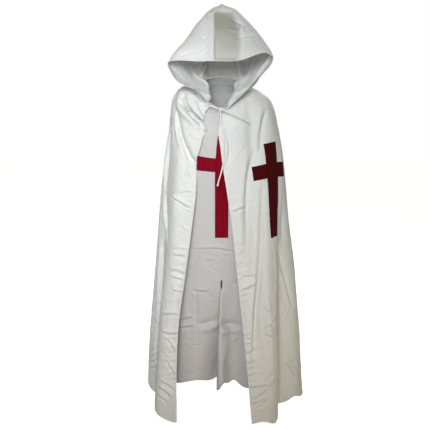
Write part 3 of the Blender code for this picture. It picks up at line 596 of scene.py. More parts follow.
def small_crease_height(across, down, count, seed):
    """Short, shallow creases scattered over a panel: each is a bell across times a bell along, on a line
    that bends a little. They lean mostly round the body, as cloth that was packed folded has them."""
    draw = np.random.default_rng(seed)
    height = np.zeros_like(across)
    for _ in range(count):
        middle = draw.uniform(0, across.max()), draw.uniform(0.02, down.max())
        lean = draw.normal(0.0, 0.45) + (math.pi / 2 if draw.random() < 0.3 else 0.0)
        half_length, half_width = draw.uniform(0.014, 0.050), draw.uniform(0.0032, 0.0075)
        depth = draw.uniform(0.0004, 0.0014) * (1 if draw.random() < 0.6 else -1) * SMALL_CREASE_STRENGTH
        bend = draw.uniform(-4.0, 4.0)
        off_across, off_down = across - middle[0], down - middle[1]
        along = off_across * math.cos(lean) + off_down * math.sin(lean)
        beside = off_down * math.cos(lean) - off_across * math.sin(lean) + bend * along**2
        profile = bell(beside, half_width) - 0.5 * bell(beside - 1.8 * half_width, half_width)
        height += depth * bell(along, half_length) * profile
    return height


def slack_height(across, down, seed):
    """The cloth's soft unevenness: a sum of eight sines across and down, 60 to 240 mm long."""
    draw = np.random.default_rng(seed + 100)
    height = np.zeros_like(across)
    for _ in range(8):
        length, lean = draw.uniform(0.06, 0.24), draw.uniform(-0.5, 0.5)
        phase = draw.uniform(0, 2 * math.pi)
        place = across * math.cos(lean) + down * math.sin(lean) * 0.6
        height += SLACK * length * np.sin(2 * math.pi * place / length + phase)
    return height


def wandering_sine(place, length, wander, period, phase=0.0):
    """A sine of the place with this wave length, whose phase wanders as a slower sine of it."""
    turn = 2 * math.pi * place
    return np.sin(turn / length + wander * np.sin(turn / period) + phase)


def edge_height(along, hem, seam):
    """The turned hem is a step up to HEM_RISE, with puckers along its stitches; a seam is a groove with
    a raised felling beside it. Both pucker as a sine of the way along the edge."""
    step = HEM_RISE * smooth_fall(HEM_WIDTH - 0.002, HEM_WIDTH + 0.002, hem)
    groove = -0.0012 * bell(seam, 0.0030) + 0.0006 * bell(seam - 0.008, 0.0045)
    puckers = 0.0006 * bell(hem - HEM_WIDTH, 0.012) + 0.0007 * bell(seam - 0.012, 0.011)
    return step + groove + puckers * wandering_sine(along, 0.023, 2.2, 0.17)


def nearest(*distances):
    """The smallest of several distances at each point."""
    return np.minimum.reduce(np.broadcast_arrays(*distances))


def edge_distance(wanted, kinds, distances):
    """The distance to the nearest edge of a kind. An edge's kind is a word, or an array that says in
    which rows it is a hem, and elsewhere it is a seam."""
    found = [np.full_like(distances[0], FAR)]
    for kind, distance in zip(kinds, distances):
        if isinstance(kind, str):
            found.append(distance if kind == wanted else FAR)
        elif wanted != "neck":
            found.append(np.where(kind[:, None] == (wanted == "hem"), distance, FAR))
    return nearest(*found)


# A cloth's tone is how strongly its cotton paints shade at each point.
Cloth = namedtuple("Cloth", "rows angles points normals thread seam tone cells")


def lay_cloth(name, base, rows, angles, line_at, extra=0.0, kinds=(), gaps=(), cells=None):
    """A panel's cloth: its base points, moved along their normals. The creases, the small creases, the
    slack and what extra gives fade out at the seams, and to a share of 0.3 at the hems. The hems' and
    seams' own heights are added to them, and all of it fades out at the neck. gaps and kinds add edges
    to the panel's own."""
    panel = PANELS[name]
    normals = grid_normals(base)
    across, down = arc_lengths(base, 1), arc_lengths(base, 0)
    distances = [down, down[-1] - down, across, across[:, -1:] - across, *gaps]
    kinds = (*panel.edges, *kinds)
    hem, seam, neck = (edge_distance(kind, kinds, distances) for kind in ("hem", "seam", "neck"))
    height = extra + crease_height(CREASES[name], line_at, base, normals)
    height += small_crease_height(across, down, panel.crumples, panel.seed)
    height += slack_height(across, down, panel.seed)
    height = height * smooth_step(0.0, 0.014, seam) * (0.3 + 0.7 * smooth_step(0.0, 0.022, hem))
    height = height + edge_height(across + down, hem, seam)
    points = base + (height * smooth_step(0.0, 0.016, neck))[..., None] * normals
    thread = np.stack([across, down, hem], axis=-1)
    return Cloth(rows, angles, points, grid_normals(points), thread, seam, np.zeros_like(hem), cells)


def lifted(base, level, angle, lifts):
    """Moves points up near the hem by the sum of the lifts' bells; level fades them up the cloth."""
    amount = sum(lift.lift * bell(turn_between(angle, lift.angle), lift.half_width) for lift in lifts)
    base[..., 2] += amount * smooth_step(9.6, 11.0, level)
    return base


def spread_angles(start, stop, name):
    """A panel's angles: shares of the way from one edge to the other, closer together at both."""
    return between(start[:, None], stop[:, None], edge_shares(PANELS[name].columns))


def seam_angles(rows, angle):
    """The angles of two mantle panels' edges on each side of a seam, half the gap from its line."""
    line = np.full_like(rows, angle)
    return [angle_of(mantle_point, rows, line, side * SEAM_GAP / 2) for side in (-1, 1)]


def edge_ripple(drop, rows, free):
    """Puckers along a mantle's front edge: sines of the height, whose strength follows the level and
    fades away from the edge as a bell."""
    strength = bell(rows - 7.95, 0.55) + 1.2 * bell(rows - 9.75, 0.75) + 0.4 * bell(rows - 6.2, 0.5)
    wave = wandering_sine(drop, 0.036, 2.4, 0.21) + 0.5 * wandering_sine(drop, 0.021, 0.0, FAR, 1.3)
    return EDGE_RIPPLE * strength[:, None] * bell(free, 0.050) * wave


def mantle_panel(name):
    """A panel of the mantle, between two of its seams and front edges, with soft gathers below its neck:
    a sine across the cloth that fades down it as a bell."""
    rows = even_levels(mantle_point, -50.0, name)
    right_seam, left_seam, middle = (seam_angles(rows, angle) for angle in (-SIDE_SEAM, SIDE_SEAM, 180.0))
    left_edge, right_edge = (column(MANTLE_LEVELS, edge, rows) for edge in ("edge_left", "edge_right"))
    # The right edge is notched where the swag's folds run out into it.
    right_edge += 4.5 * bell(rows - 3.10, 0.16) - 15.0 * bell(rows - 2.80, 0.18) - 2.0 * bell(rows - 4.9, 0.5)
    start, stop = {
        "mantle_front_right": (right_seam[1], right_edge),
        "mantle_front_left": (left_edge, left_seam[0]),
        "mantle_back_right": (middle[1], right_seam[0] + 360),
        "mantle_back_left": (left_seam[1], middle[0]),
    }[name]
    angles = spread_angles(start, stop, name)
    base = lifted(mantle_point(rows[:, None], angles), rows[:, None], angles, MANTLE_LIFTS)
    across, down = arc_lengths(base, 1), arc_lengths(base, 0)
    extra = NECK_GATHER * bell(down - 0.016, 0.028) * wandering_sine(across, 0.034, 1.8, 0.15)
    if name == "mantle_front_right":
        free = across[:, -1:] - across
        extra += edge_ripple(base[..., 2] + 0.25 * free, rows, free)
    elif name == "mantle_front_left":
        extra += edge_ripple(base[..., 2] - 0.20 * across, rows, across)
    return lay_cloth(name, base, rows, angles, mantle_point, extra)


def armhole_at(rows):
    """How far the armhole's edge stands from the side line, in degrees, or 0 where the side is sewn."""
    armhole = column(SURCOAT_LEVELS, "armhole", rows)
    armhole[armhole < 1.0] = 0.0
    return armhole


def slit_reach(drop):
    """How far each flap's edge stands clear of the slit's line, at these drops below its top: the slit
    gapes a little at its top, and further down the flaps pass each other."""
    gape = SLIT_GAPE * smooth_step(0.0, 0.005, drop) * smooth_fall(0.032, 0.050, drop)
    return np.where(drop > 0, gape - SLIT_LAP * smooth_step(0.036, 0.070, drop), SLIT_WIDTH / 2)


def mantle_press(level, angle):
    """How far the mantle's shoulders press the surcoat in: smooth steps round the body and down it, deep
    under the right side's folds and slight on the left."""
    begin = -34.0 - 8.0 * smooth_step(2.6, 3.6, level)
    right = smooth_fall(begin - 6.0, begin, angle) * smooth_step(-88.0, -76.0, angle)
    left = smooth_step(28.0, 40.0, angle) * smooth_fall(74.0, 88.0, angle)
    depth = RIGHT_PRESS * right + LEFT_PRESS * left
    return depth * smooth_step(0.15, 0.8, level) * smooth_fall(4.8, 6.4, level)


def surcoat_front(name):
    """The surcoat's front: two halves that are joined above the slit."""
    slit_level = float(level_at(surcoat_point, 0.0, SLIT_TOP))
    rows = even_levels(surcoat_point, -20.0, name)
    rows[np.abs(rows - slit_level).argmin()] = slit_level
    slit = rows > slit_level + 1e-6
    armhole = armhole_at(rows)
    side = angle_of(surcoat_point, rows, 90 - armhole, -SEAM_GAP / 2)
    lean = SLIT_DRIFT * smooth_step(slit_level, LAST_LEVEL, rows)
    reach = slit_reach(SLIT_TOP - surcoat_point(rows, 0.0)[:, 2])
    slit_right, slit_left = (angle_of(surcoat_point, rows, lean, way * reach) for way in (-1, 1))
    half = PANELS[name].columns // 2
    ends = ((-side, slit_right), (slit_left, side))
    halves = [between(start[:, None], stop[:, None], edge_shares(half)) for start, stop in ends]
    angles = np.concatenate(halves, axis=1)
    flap = np.where(slit[:, None], np.repeat([-1, 1], half), 0)
    cells = np.ones((len(rows) - 1, 2 * half - 1), bool)
    cells[slit[1:], half - 1] = False
    base = surcoat_point(rows[:, None], angles, flap)
    for columns, lifts in ((slice(None, half), SURCOAT_RIGHT_LIFTS), (slice(half, None), SURCOAT_LEFT_LIFTS)):
        base[:, columns] = lifted(base[:, columns], rows[:, None], angles[:, columns], lifts)
    base -= mantle_press(rows[:, None], angles)[..., None] * grid_normals(base)
    right, left = np.split(arc_lengths(base, 1), 2, axis=1)
    gap = np.where(slit[:, None], np.concatenate([right[:, -1:] - right, left - left[:, :1]], 1), FAR)
    cut = armhole > 0
    return lay_cloth(name, base, rows, angles, surcoat_point, 0.0, (cut, cut, "hem"), [gap], cells)


def surcoat_back(name):
    """The surcoat's back, from the wearer's left side round to the right."""
    rows = even_levels(surcoat_point, 160.0, name)
    armhole = armhole_at(rows)
    side = angle_of(surcoat_point, rows, 90 + armhole, SEAM_GAP / 2)
    angles = spread_angles(side, 360 - side, name)
    cut = armhole > 0
    return lay_cloth(name, surcoat_point(rows[:, None], angles), rows, angles, surcoat_point, 0.0, (cut, cut))


def crown_sway(grid):
    """Moves the crown's seam towards the wearer's right, as a bell of the distance from it that fades
    out below the temples, at the tip and behind."""
    x, y, z = np.moveaxis(grid, -1, 0)
    fade = smooth_step(0.06, 0.10, z) * smooth_fall(0.285, 0.330, z) * smooth_fall(-0.02, 0.04, y)
    swayed = grid.copy()
    swayed[..., 0] -= CROWN_SWAY * bell(x, 0.046) * fade
    return swayed


def collar_roll(grid, ups, backs, side):
    """Rolls the hood's foot in beside the neck: a bell up from the neck seam, at its fullest in front."""
    up, back = np.asarray(ups, float)[:, None], np.asarray(backs, float)[None]
    height = bell(up - 0.085, 0.075) * smooth_step(0.0, 0.035, up)
    amount = HOOD_ROLL[side] * height * smooth_step(0.0, 0.09, back) * smooth_fall(0.28, 0.62, back)
    return grid - amount[..., None] * [side, 0.0, 0.15]


def crown_strip(base):
    """The strip beside the crown's seam, as shares of its depth: a crisp drop at the seam, a slope down
    to the wearer's left, and a short rise back. It fades towards the back. Also gives where it is
    sunk, where the cotton paints shade."""
    x, y, z = np.moveaxis(base, -1, 0)
    start = -0.040 * smooth_fall(0.285, 0.330, z)
    end = 0.079 - 2.2 * (z - 0.18) ** 2
    ramp = 0.25 + 0.75 * np.clip((x - start) / (end - start), 0, 1)
    sunk = smooth_step(start, start + 0.013, x) * smooth_fall(end - 0.012, end + 0.010, x)
    return ramp * sunk * smooth_fall(-0.05, 0.03, y) * smooth_step(0.070, 0.085, z), sunk


def hood_panel(name):
    """A panel of the hood, with its grid turned so that its cells face outwards."""
    ribs, side = {"hood_right": (HOOD_RIGHT, -1), "hood_left": (HOOD_LEFT, 1)}[name]
    ups, backs = edge_shares(PANELS[name].rows), edge_shares(PANELS[name].columns)

    def surface(up, back):
        """The grid of points at these shares up and back."""
        return crown_sway(collar_roll(hood_surface(ribs, side, up, back), up, back, side))

    def line_at(up, back):
        """The points at pairs of shares, which are the grid's diagonal."""
        return np.einsum("kkc->kc", surface(up, back))

    base = surface(ups, backs)[:, ::-side]
    strip, shade = crown_strip(base)
    cloth = lay_cloth(name, base, ups, backs, line_at, -CROWN_STRIP_DEPTH * strip)
    normals = cloth.normals.copy()
    normals[:, -1 if side == -1 else 0, 0] = 0
    normals[-1, :, 0] *= 0.2
    # Painted shade for the strip beside the crown's seam: stronger higher up, and fading at the tip and
    # behind.
    painted_shade_strength = 0.50 + 0.40 * smooth_step(0.11, 0.24, base[..., 2])
    painted_shade_strength *= smooth_fall(0.296, 0.306, base[..., 2]) * smooth_fall(-0.03, 0.03, base[..., 1])
    return cloth._replace(normals=unit(normals), tone=shade * painted_shade_strength)


# ---- meshes


def add_mesh(name, vertices, faces, finish, attributes=(), slot=None):
    """A mesh object at the origin, smooth, with its finish and its point attributes."""
    mesh = bpy.data.meshes.new(name)
    mesh.from_pydata(vertices.tolist(), [], faces.tolist())
    mesh.update()
    mesh.shade_smooth()
    for label, values in attributes:
        kind, field = ("FLOAT_VECTOR", "vector") if values.ndim == 2 else ("FLOAT", "value")
        attribute = mesh.attributes.new(label, kind, "POINT")
        attribute.data.foreach_set(field, values.astype(np.float32).ravel())
    mesh.materials.append(finish)
    piece = bpy.data.objects.new(name, mesh)
    bpy.context.scene.collection.objects.link(piece)
    if slot is not None:
        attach(piece, BODY)
    return piece


def border_of(faces):
    """The starts and ends of the directed edges that only one of these triangles has."""
    ends = np.concatenate([faces[:, [0, 1]], faces[:, [1, 2]], faces[:, [2, 0]]]).astype(np.int64)
    size = int(faces.max()) + 1
    keys, backs = ends[:, 0] * size + ends[:, 1], ends[:, 1] * size + ends[:, 0]
    return ends[~np.isin(keys, backs)].T


def add_wall(name, points, normals, attributes, cells, high, low, finish, slot):
    """A closed wall between two copies of a grid, moved along its normals by high and low, which may
    vary over the grid. Its border is rounded by a ring of points halfway, pushed out past the edge."""
    rows, columns = points.shape[:2]
    total = rows * columns
    cells = np.ones((rows - 1, columns - 1), bool) if cells is None else cells
    high, low = (np.broadcast_to(side, (rows, columns))[..., None] for side in (high, low))
    outer, inner = ((points + side * normals).reshape(-1, 3) for side in (high, low))
    number = np.arange(total).reshape(rows, columns)
    a, b = number[:-1, :-1][cells], number[1:, :-1][cells]
    c, d = number[1:, 1:][cells], number[:-1, 1:][cells]
    faces = np.concatenate([np.stack([a, b, c], 1), np.stack([a, c, d], 1)])
    start, stop = border_of(faces)
    flat_normals = normals.reshape(-1, 3)
    # The way out of the cloth at each border point, from the edges that meet there.
    out = np.cross(outer[stop] - outer[start], flat_normals[start] + flat_normals[stop])
    push = np.zeros((total, 3))
    np.add.at(push, start, out)
    np.add.at(push, stop, out)
    rim_points = np.unique([start, stop])
    thick = (high - low).reshape(-1, 1)[rim_points]
    middle = (outer[rim_points] + inner[rim_points]) / 2 + unit(push[rim_points]) * thick * 0.4
    ring = np.zeros(total, int)
    ring[rim_points] = 2 * total + np.arange(len(rim_points))
    mid_start, mid_stop, low_start, low_stop = ring[start], ring[stop], start + total, stop + total
    corners = (
        (stop, start, mid_start), (stop, mid_start, mid_stop),
        (mid_stop, mid_start, low_start), (mid_stop, low_start, low_stop),
    )
    rim = [np.stack(three, 1) for three in corners]
    used, triangles = np.unique(np.concatenate([faces, faces[:, ::-1] + total, *rim]), return_inverse=True)
    vertices = np.concatenate([outer, inner, middle])[used]
    source = np.concatenate([np.arange(total), np.arange(total), rim_points])[used]
    attributes = [(label, values.reshape(total, -1).squeeze()[source]) for label, values in attributes]
    return add_mesh(name, vertices, triangles.reshape(-1, 3), finish, attributes, slot)


CLOTHS = {}


def cloth_of(name):
    """A panel's cloth, worked out once."""
    if name not in CLOTHS:
        garment = name.split("_")[0]
        surcoat = {"surcoat_front": surcoat_front, "surcoat_back": surcoat_back}.get(name)
        CLOTHS[name] = {"hood": hood_panel, "mantle": mantle_panel, "surcoat": surcoat}[garment](name)
    return CLOTHS[name]


def add_panel(name, finish, slot):
    """A cut panel as a thin closed wall that stands for its CAD node."""
    panel, cloth = PANELS[name], cloth_of(name)
    thickness = bpy.context.scene.dress_sizes.cloth_thickness
    thick = thickness + HEM_THICKNESS * (cloth.thread[..., 2] < HEM_WIDTH)
    # The tone attribute carries where the cotton paints shade.
    attributes = [("thread", cloth.thread), ("seam", cloth.seam), ("tone", cloth.tone)]
    piece = add_wall(
        name + "_cloth", cloth.points, cloth.normals, attributes, cloth.cells, 0.0, -thick, finish, slot
    )
    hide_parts(name)
    return piece


def sampled(cloth, levels, angles):
    """The panel's points and normals at these levels and angles, read between its grid's points."""
    place = np.interp(levels, cloth.rows, np.arange(len(cloth.rows)))
    row = np.minimum(place.astype(int), len(cloth.rows) - 2)
    part = place - row
    # Each row's angles share one pattern, so an angle's column follows from its share of the row.
    first, last = cloth.angles[:, 0], cloth.angles[:, -1]
    start, stop = (edge[row] * (1 - part) + edge[row + 1] * part for edge in (first, last))
    pattern_row = len(cloth.rows) // 4
    pattern = cloth.angles[pattern_row] - first[pattern_row]
    columns = np.arange(len(pattern))
    spot = np.interp((angles - start) / (stop - start), pattern / pattern[-1], columns)
    col = np.minimum(spot.astype(int), len(columns) - 2)
    side, down = (spot - col)[..., None], part[..., None]

    def read(grid):
        """The grid's values there, weighted by the shares of the cell."""
        upper, lower = (grid[at, col] * (1 - side) + grid[at, col + 1] * side for at in (row, row + 1))
        return upper * (1 - down) + lower * down

    return read(cloth.points), unit(read(cloth.normals))


def marked(length, marks):
    """Distances from 0 to a length, with each mark and a point close on each side of it among them."""
    fine = np.linspace(0, length, round(length / CROSS_STEP) + 1)
    close = [mark + side * CROSS_MARGIN for mark in marks for side in (-1, 0, 1)]
    close = [place for place in close if -1e-9 <= place <= length + 1e-9]
    apart = [place for place in fine if min(abs(place - mark) for mark in marks) > 2 * CROSS_MARGIN]
    return np.unique(np.round(np.concatenate([apart, close]), 7))


def add_cross(name, cross, cloth, surface, angles, finish):
    """A cross sewn on a panel: a grid of the ways down and across its middle line, which passes from one
    angle to the other, laid on the panel's own points, cut to the bar and the arms, and thinner towards
    its sewn edges."""
    half_span, half_bar = cross.span / 2, cross.bar / 2
    arm_end = cross.arm_drop + cross.arm
    drops = marked(cross.height, [0, cross.arm_drop, arm_end, cross.height])
    offsets = marked(cross.span, [0, half_span - half_bar, half_span + half_bar, cross.span]) - half_span
    down, offset = np.broadcast_arrays(drops[:, None], offsets[None])
    across = offset * (1 + cross.taper * (0.5 - down / cross.height))
    drop = down + cross.droop * np.maximum(0, np.abs(across) - half_bar)
    levels, straight = (level_at(surface, angles[0], cross.top - fall) for fall in (drop, down))
    middle = np.interp(straight, (levels.min(), levels.max()), angles)
    lean = cross.lean * np.clip(1 - down / 0.2, 0, 1) ** 2
    points, normals = sampled(cloth, levels, angle_of(surface, levels, middle, across + lean))
    in_bar = nearest(half_bar - np.abs(offset), down, cross.height - down)
    in_arms = nearest(half_span - np.abs(offset), down - cross.arm_drop, arm_end - down)
    inside = np.maximum(in_bar, in_arms)
    cells = (inside[:-1, :-1] + inside[1:, :-1] + inside[:-1, 1:] + inside[1:, 1:]) > 0
    high = CROSS_EDGE + CROSS_SWELL * smooth_step(0.0, 0.0026, inside)
    attributes = [("thread", np.stack([offset, down, inside], axis=-1))]
    piece = add_wall(
        name + "_cloth", points, normals, attributes, cells, high, CROSS_BELOW, finish, "cross_cotton"
    )
    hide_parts(name)
    area = cross.bar * cross.height + (cross.span - cross.bar) * cross.arm
    return piece


def smooth_route(points, spacing):
    """Points that stand evenly along a smooth curve through a route's points, and their stations."""
    fine = through(points, np.linspace(0, len(points) - 1, 1200))
    length = arc_lengths(fine, 0)
    stations = np.linspace(0, length[-1], max(8, round(length[-1] / spacing)))
    return np.stack([np.interp(stations, length, axis) for axis in fine.T], 1), stations


def add_cord(name, points, radius, finish, tip=0.0, closed=False):
    """A cord of three strands: round the route, the radius is 0.86 to 1 of its own, as the absolute
    cosine of one and a half times the angle, and the angle turns along the route. Open ends round off
    as a square root, and tip swells the last few millimetres into a small knot, as a bell. Gives the
    piece, its route and its length."""
    route, stations = smooth_route(points, CORD_STEP)
    forward = unit(np.gradient(route, axis=0))
    beside = unit(np.cross(forward, [0.31, -0.90, 0.29]))
    above = np.cross(beside, forward)
    count = CORD_SIDES
    turn, way = np.broadcast_arrays(np.linspace(0, 2 * math.pi, count, endpoint=False), stations[:, None])
    size = radius * (0.86 + 0.14 * np.abs(np.cos(1.5 * (turn - way * 2 * math.pi / CORD_LAY))))
    if not closed:
        end = stations[-1] - way
        size = size * np.sqrt(np.clip(end / 0.0016, 0.04, 1)) * (1 + tip * bell(end - 0.006, 0.0032))
        size = size * np.sqrt(np.clip(way / 0.0012 + 0.3, 0, 1))
    ring = np.cos(turn)[..., None] * beside[:, None] + np.sin(turn)[..., None] * above[:, None]
    grid = route[:, None] + size[..., None] * ring
    vertices = np.concatenate([grid.reshape(-1, 3), route[:1], route[-1:]])
    number = np.arange(turn.size).reshape(turn.shape)
    turned = np.roll(number, -1, axis=1)
    first_end, last_end = np.full(count, turn.size), np.full(count, turn.size + 1)
    corners = (
        (number[:-1], turned[:-1], turned[1:]), (number[:-1], turned[1:], number[1:]),
        (first_end, turned[0], number[0]), (last_end, number[-1], turned[-1]),
    )
    faces = np.concatenate([np.stack(three, -1).reshape(-1, 3) for three in corners])
    thread = np.stack([turn, way, np.zeros(turn.shape)], axis=-1).reshape(-1, 3)
    thread = np.concatenate([thread, thread[:1], thread[-1:]])
    piece = add_mesh(name + "_cord", vertices, faces, finish, [("thread", thread)], "tie_cord")
    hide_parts(name)
    return piece, route, float(stations[-1])


# ---- finishes


class Shade:
    """A value inside a material. Arithmetic on it adds Math nodes."""

    def __init__(self, finish, socket):
        self.finish, self.socket = finish, socket

    def maths(self, operation, *values):
        """A Math node on these values."""
        return self.finish.node("ShaderNodeMath", {"operation": operation}, values)

    def __add__(self, other):
        return self.maths("ADD", self, other)

    def __sub__(self, other):
        return self.maths("SUBTRACT", self, other)

    def __rsub__(self, other):
        return self.maths("SUBTRACT", other, self)

    def __mul__(self, other):
        return self.maths("MULTIPLY", self, other)

    __radd__ = __add__
    __rmul__ = __mul__

    def sine(self):
        return self.maths("SINE", self)

    def cosine(self):
        return self.maths("COSINE", self)

    def size(self):
        return self.maths("ABSOLUTE", self)

    def ramp(self, low, high):
        """0 at low, 1 at high, and a smooth rise between."""
        values = {"Value": self, "From Min": low, "From Max": high}
        return self.finish.node("ShaderNodeMapRange", {"interpolation_type": "SMOOTHSTEP"}, values)


class Finish:
    """A node material for one kind of cloth or cord, or for the floor."""

    def __init__(self, name, roughness, sheen=0.0, specular=0.25):
        self.material = bpy.data.materials.new(name)
        self.material.use_nodes = True
        self.tree = self.material.node_tree
        self.shader = self.tree.nodes["Principled BSDF"]
        self.fix("Roughness", roughness)
        self.fix("Sheen Weight", sheen)
        self.fix("Specular IOR Level", specular)

    def fix(self, name, value):
        """Sets one of the shader's own sockets to a constant."""
        self.shader.inputs[name].default_value = value

    def node(self, kind, settings, values, output=0):
        """A node of this kind: its settings first, then its sockets' values or links."""
        node = self.tree.nodes.new(kind)
        for name, value in settings.items():
            setattr(node, name, value)
        for key, value in values.items() if isinstance(values, dict) else enumerate(values):
            if isinstance(value, Shade):
                self.tree.links.new(value.socket, node.inputs[key])
            else:
                node.inputs[key].default_value = value
        return Shade(self, node.outputs[output])

    def attribute(self, name, output="Fac"):
        return self.node("ShaderNodeAttribute", {"attribute_name": name}, {}, output)

    def thread(self):
        """The thread attribute and its parts: across, down and to the hem or the edge, in metres. On the
        cord they are the turn round it and the way along it."""
        vector = self.attribute("thread", "Vector")
        parts = self.node("ShaderNodeSeparateXYZ", {}, [vector])
        return vector, [Shade(self, part) for part in parts.socket.node.outputs]

    def weave(self, across, down):
        """Plain weave, as the product of two sines of the ways across and down."""
        turns = 2 * math.pi / bpy.context.scene.dress_sizes.weave_pitch
        return (across * turns).sine() * (down * turns).sine()

    def place(self):
        return self.node("ShaderNodeTexCoord", {}, {}, "Object")

    def noise(self, vector, scale, detail=2.0, roughness=0.5):
        values = {"Vector": vector, "Scale": scale, "Detail": detail, "Roughness": roughness}
        return self.node("ShaderNodeTexNoise", {}, values)

    def drawn_noise(self, vector, across, down):
        """Noise with its own scale across and down the cloth."""
        scaled = self.node("ShaderNodeVectorMath", {"operation": "MULTIPLY"}, [vector, (across, down, 0.0)])
        return self.noise(scaled, 1.0)

    def mix(self, factor, first, second):
        """A colour between two colours."""
        return self.node("ShaderNodeMix", {"data_type": "RGBA"}, {"Factor": factor, 6: first, 7: second}, 2)

    def bump(self, height, distance, below=None):
        values = {"Height": height, "Distance": distance}
        if below is not None:
            values["Normal"] = below
        return self.node("ShaderNodeBump", {}, values)

    def finished(self, tone, normal=None):
        """The material, once its colour and its normal are linked."""
        for name, value in (("Base Color", tone), ("Normal", normal)):
            if value is not None:
                self.tree.links.new(value.socket, self.shader.inputs[name])
        return self.material


def shade_of(colour, amount):
    """A colour made lighter or darker."""
    return tuple(min(1.0, part * amount) for part in colour[:3]) + (1.0,)


def cotton(name, colour):
    """Plain-woven cotton. Slubs are noise drawn out along the threads, and a fine crumple and faint
    clouds of colour lie over them. Stitches run along the hems and beside the seams. Where its tone is
    high, in the strip beside the hood's crown seam, the cloth is darkened by painted shade."""
    finish = Finish(name, 0.88, sheen=0.12)
    vector, (across, down, hem) = finish.thread()
    weave = finish.weave(across, down)
    slubs = finish.drawn_noise(vector, 620.0, 26.0) + finish.drawn_noise(vector, 26.0, 560.0) - 1.0
    crumple = finish.noise(finish.place(), 34.0, 4.0, 0.55)
    cloud = finish.noise(finish.place(), 5.0, 3.0)
    seam, strip = finish.attribute("seam"), finish.attribute("tone")
    stitch_line = 2.0 - (hem - (HEM_WIDTH - 0.002)).size().ramp(0.0003, 0.0009)
    stitch_line = stitch_line - (seam - FELLING).size().ramp(0.0003, 0.0009)
    stitches = stitch_line * ((across + down) * (2 * math.pi / STITCH_PITCH)).sine().ramp(-0.35, 0.1)
    tone = finish.mix(cloud.ramp(0.35, 0.68), shade_of(colour, 0.955), shade_of(colour, 1.03))
    tone = finish.mix(slubs.ramp(-0.18, 0.22) * 0.55, shade_of(colour, 0.93), tone)
    tone = finish.mix(stitches * 0.5, tone, shade_of(colour, 0.78))
    # Painted shade: the strip beside the hood's crown seam is mixed towards a dark olive grey.
    tone = finish.mix(strip * 0.9, tone, STRIP_SHADE_COLOUR)
    soft = finish.bump(crumple, 0.0052)
    return finish.finished(tone, finish.bump(weave * 0.5 + slubs * 0.9 + stitches * 0.9, 0.00035, soft))


def cross_cotton(name, colour):
    """Dyed cotton, sewn down with a close zigzag along its edge and pressed in faint upright creases."""
    finish = Finish(name, 0.82, specular=0.08)
    vector, (across, down, inside) = finish.thread()
    weave = finish.weave(across, down)
    slubs, pressed = finish.drawn_noise(vector, 620.0, 22.0), finish.drawn_noise(vector, 95.0, 7.0)
    edge = 1.0 - inside.ramp(0.0016, 0.0030)
    zigzag = ((across + down) * (2 * math.pi / ZIGZAG_PITCH)).sine() * 0.5 + 0.5
    tone = finish.mix(pressed.ramp(0.36, 0.66), shade_of(colour, 0.84), shade_of(colour, 1.12))
    tone = finish.mix(slubs.ramp(0.40, 0.75) * 0.4, tone, shade_of(colour, 0.80))
    tone = finish.mix(edge * 0.6, tone, shade_of(colour, 0.62))
    soft = finish.bump(pressed, 0.0012)
    return finish.finished(tone, finish.bump(weave * 0.5 + slubs * 0.8 + edge * zigzag * 1.2, 0.00035, soft))


def cord_cotton(name, colour):
    """Twisted cotton cord: the yarns of each strand are a sine of the turn and the way along. Painted
    shade darkens the grooves between the strands.
    """
    finish = Finish(name, 0.85, sheen=0.1)
    _, (turn, along, _) = finish.thread()
    yarns = (turn * 7.0 + along * (2 * math.pi / YARN_PITCH)).sine()
    fluff = finish.noise(finish.place(), 900.0)
    grooves = ((turn - along * (2 * math.pi / CORD_LAY)) * 1.5).cosine().size()
    # Painted shade: the cord is darker in the grooves between its strands.
    tone = finish.mix(grooves.ramp(0.0, 0.45), shade_of(colour, 0.80), shade_of(colour, 1.0))
    tone = finish.mix(fluff.ramp(0.35, 0.7) * 0.3, tone, shade_of(colour, 0.92))
    return finish.finished(tone, finish.bump(yarns * 0.6 + fluff * 0.5, 0.0003))


def floor_paint():
    """Plain pale paint with a faint mottle; it glows a little, as a lit studio floor does."""
    finish = Finish("studio_floor", 0.9)
    mottle = finish.noise(finish.place(), 1.6)
    finish.fix("Emission Color", WHITE)
    finish.fix("Emission Strength", bpy.context.scene.dress_studio.floor_glow)
    return finish.finished(finish.mix(mottle.ramp(0.3, 0.7), FLOOR_DARK, FLOOR_LIGHT))


# ---- the add-on


def amount(name, description, default, unit="NONE"):
    """A number's property."""
    return bpy.props.FloatProperty(name=name, description=description, default=default, unit=unit)


def tint(name, description, default):
    """A colour's property."""
    return bpy.props.FloatVectorProperty(
        name=name, description=description, default=default, subtype="COLOR", size=4, min=0.0, max=1.0
    )


class DressSizes(bpy.types.PropertyGroup):
    """The cloth's and the cord's sizes"""

    cloth_thickness: amount("Cloth thickness", "Thickness of the cotton", 0.0011, "LENGTH")
    weave_pitch: amount("Weave pitch", "Two threads' spacing in the weave", 0.0016, "LENGTH")
    cord_radius: amount("Cord radius", "Half the cord's thickness", 0.0031, "LENGTH")


class DressColours(bpy.types.PropertyGroup):
    """The colours of the cloths and the cord"""

    mantle: tint("Mantle", "The mantle's and the hood's cotton", (0.79, 0.79, 0.775, 1.0))
    # The surcoat is white cotton like the mantle's; its grey is partly its own and partly painted shade from
    # the mantle over it.
    surcoat: tint("Surcoat", "The surcoat's cotton", (0.635, 0.618, 0.617, 1.0))
    surcoat_cross: tint("Surcoat cross", "The surcoat's cross", (0.225, 0.0005, 0.012, 1.0))
    # The mantle's cross is the same red cloth as the surcoat's; its darker colour is painted shade.
    mantle_cross: tint("Mantle cross", "The mantle's cross", (0.060, 0.0005, 0.001, 1.0))
    cord: tint("Cord", "The tie's cotton cord", (0.90, 0.865, 0.845, 1.0))


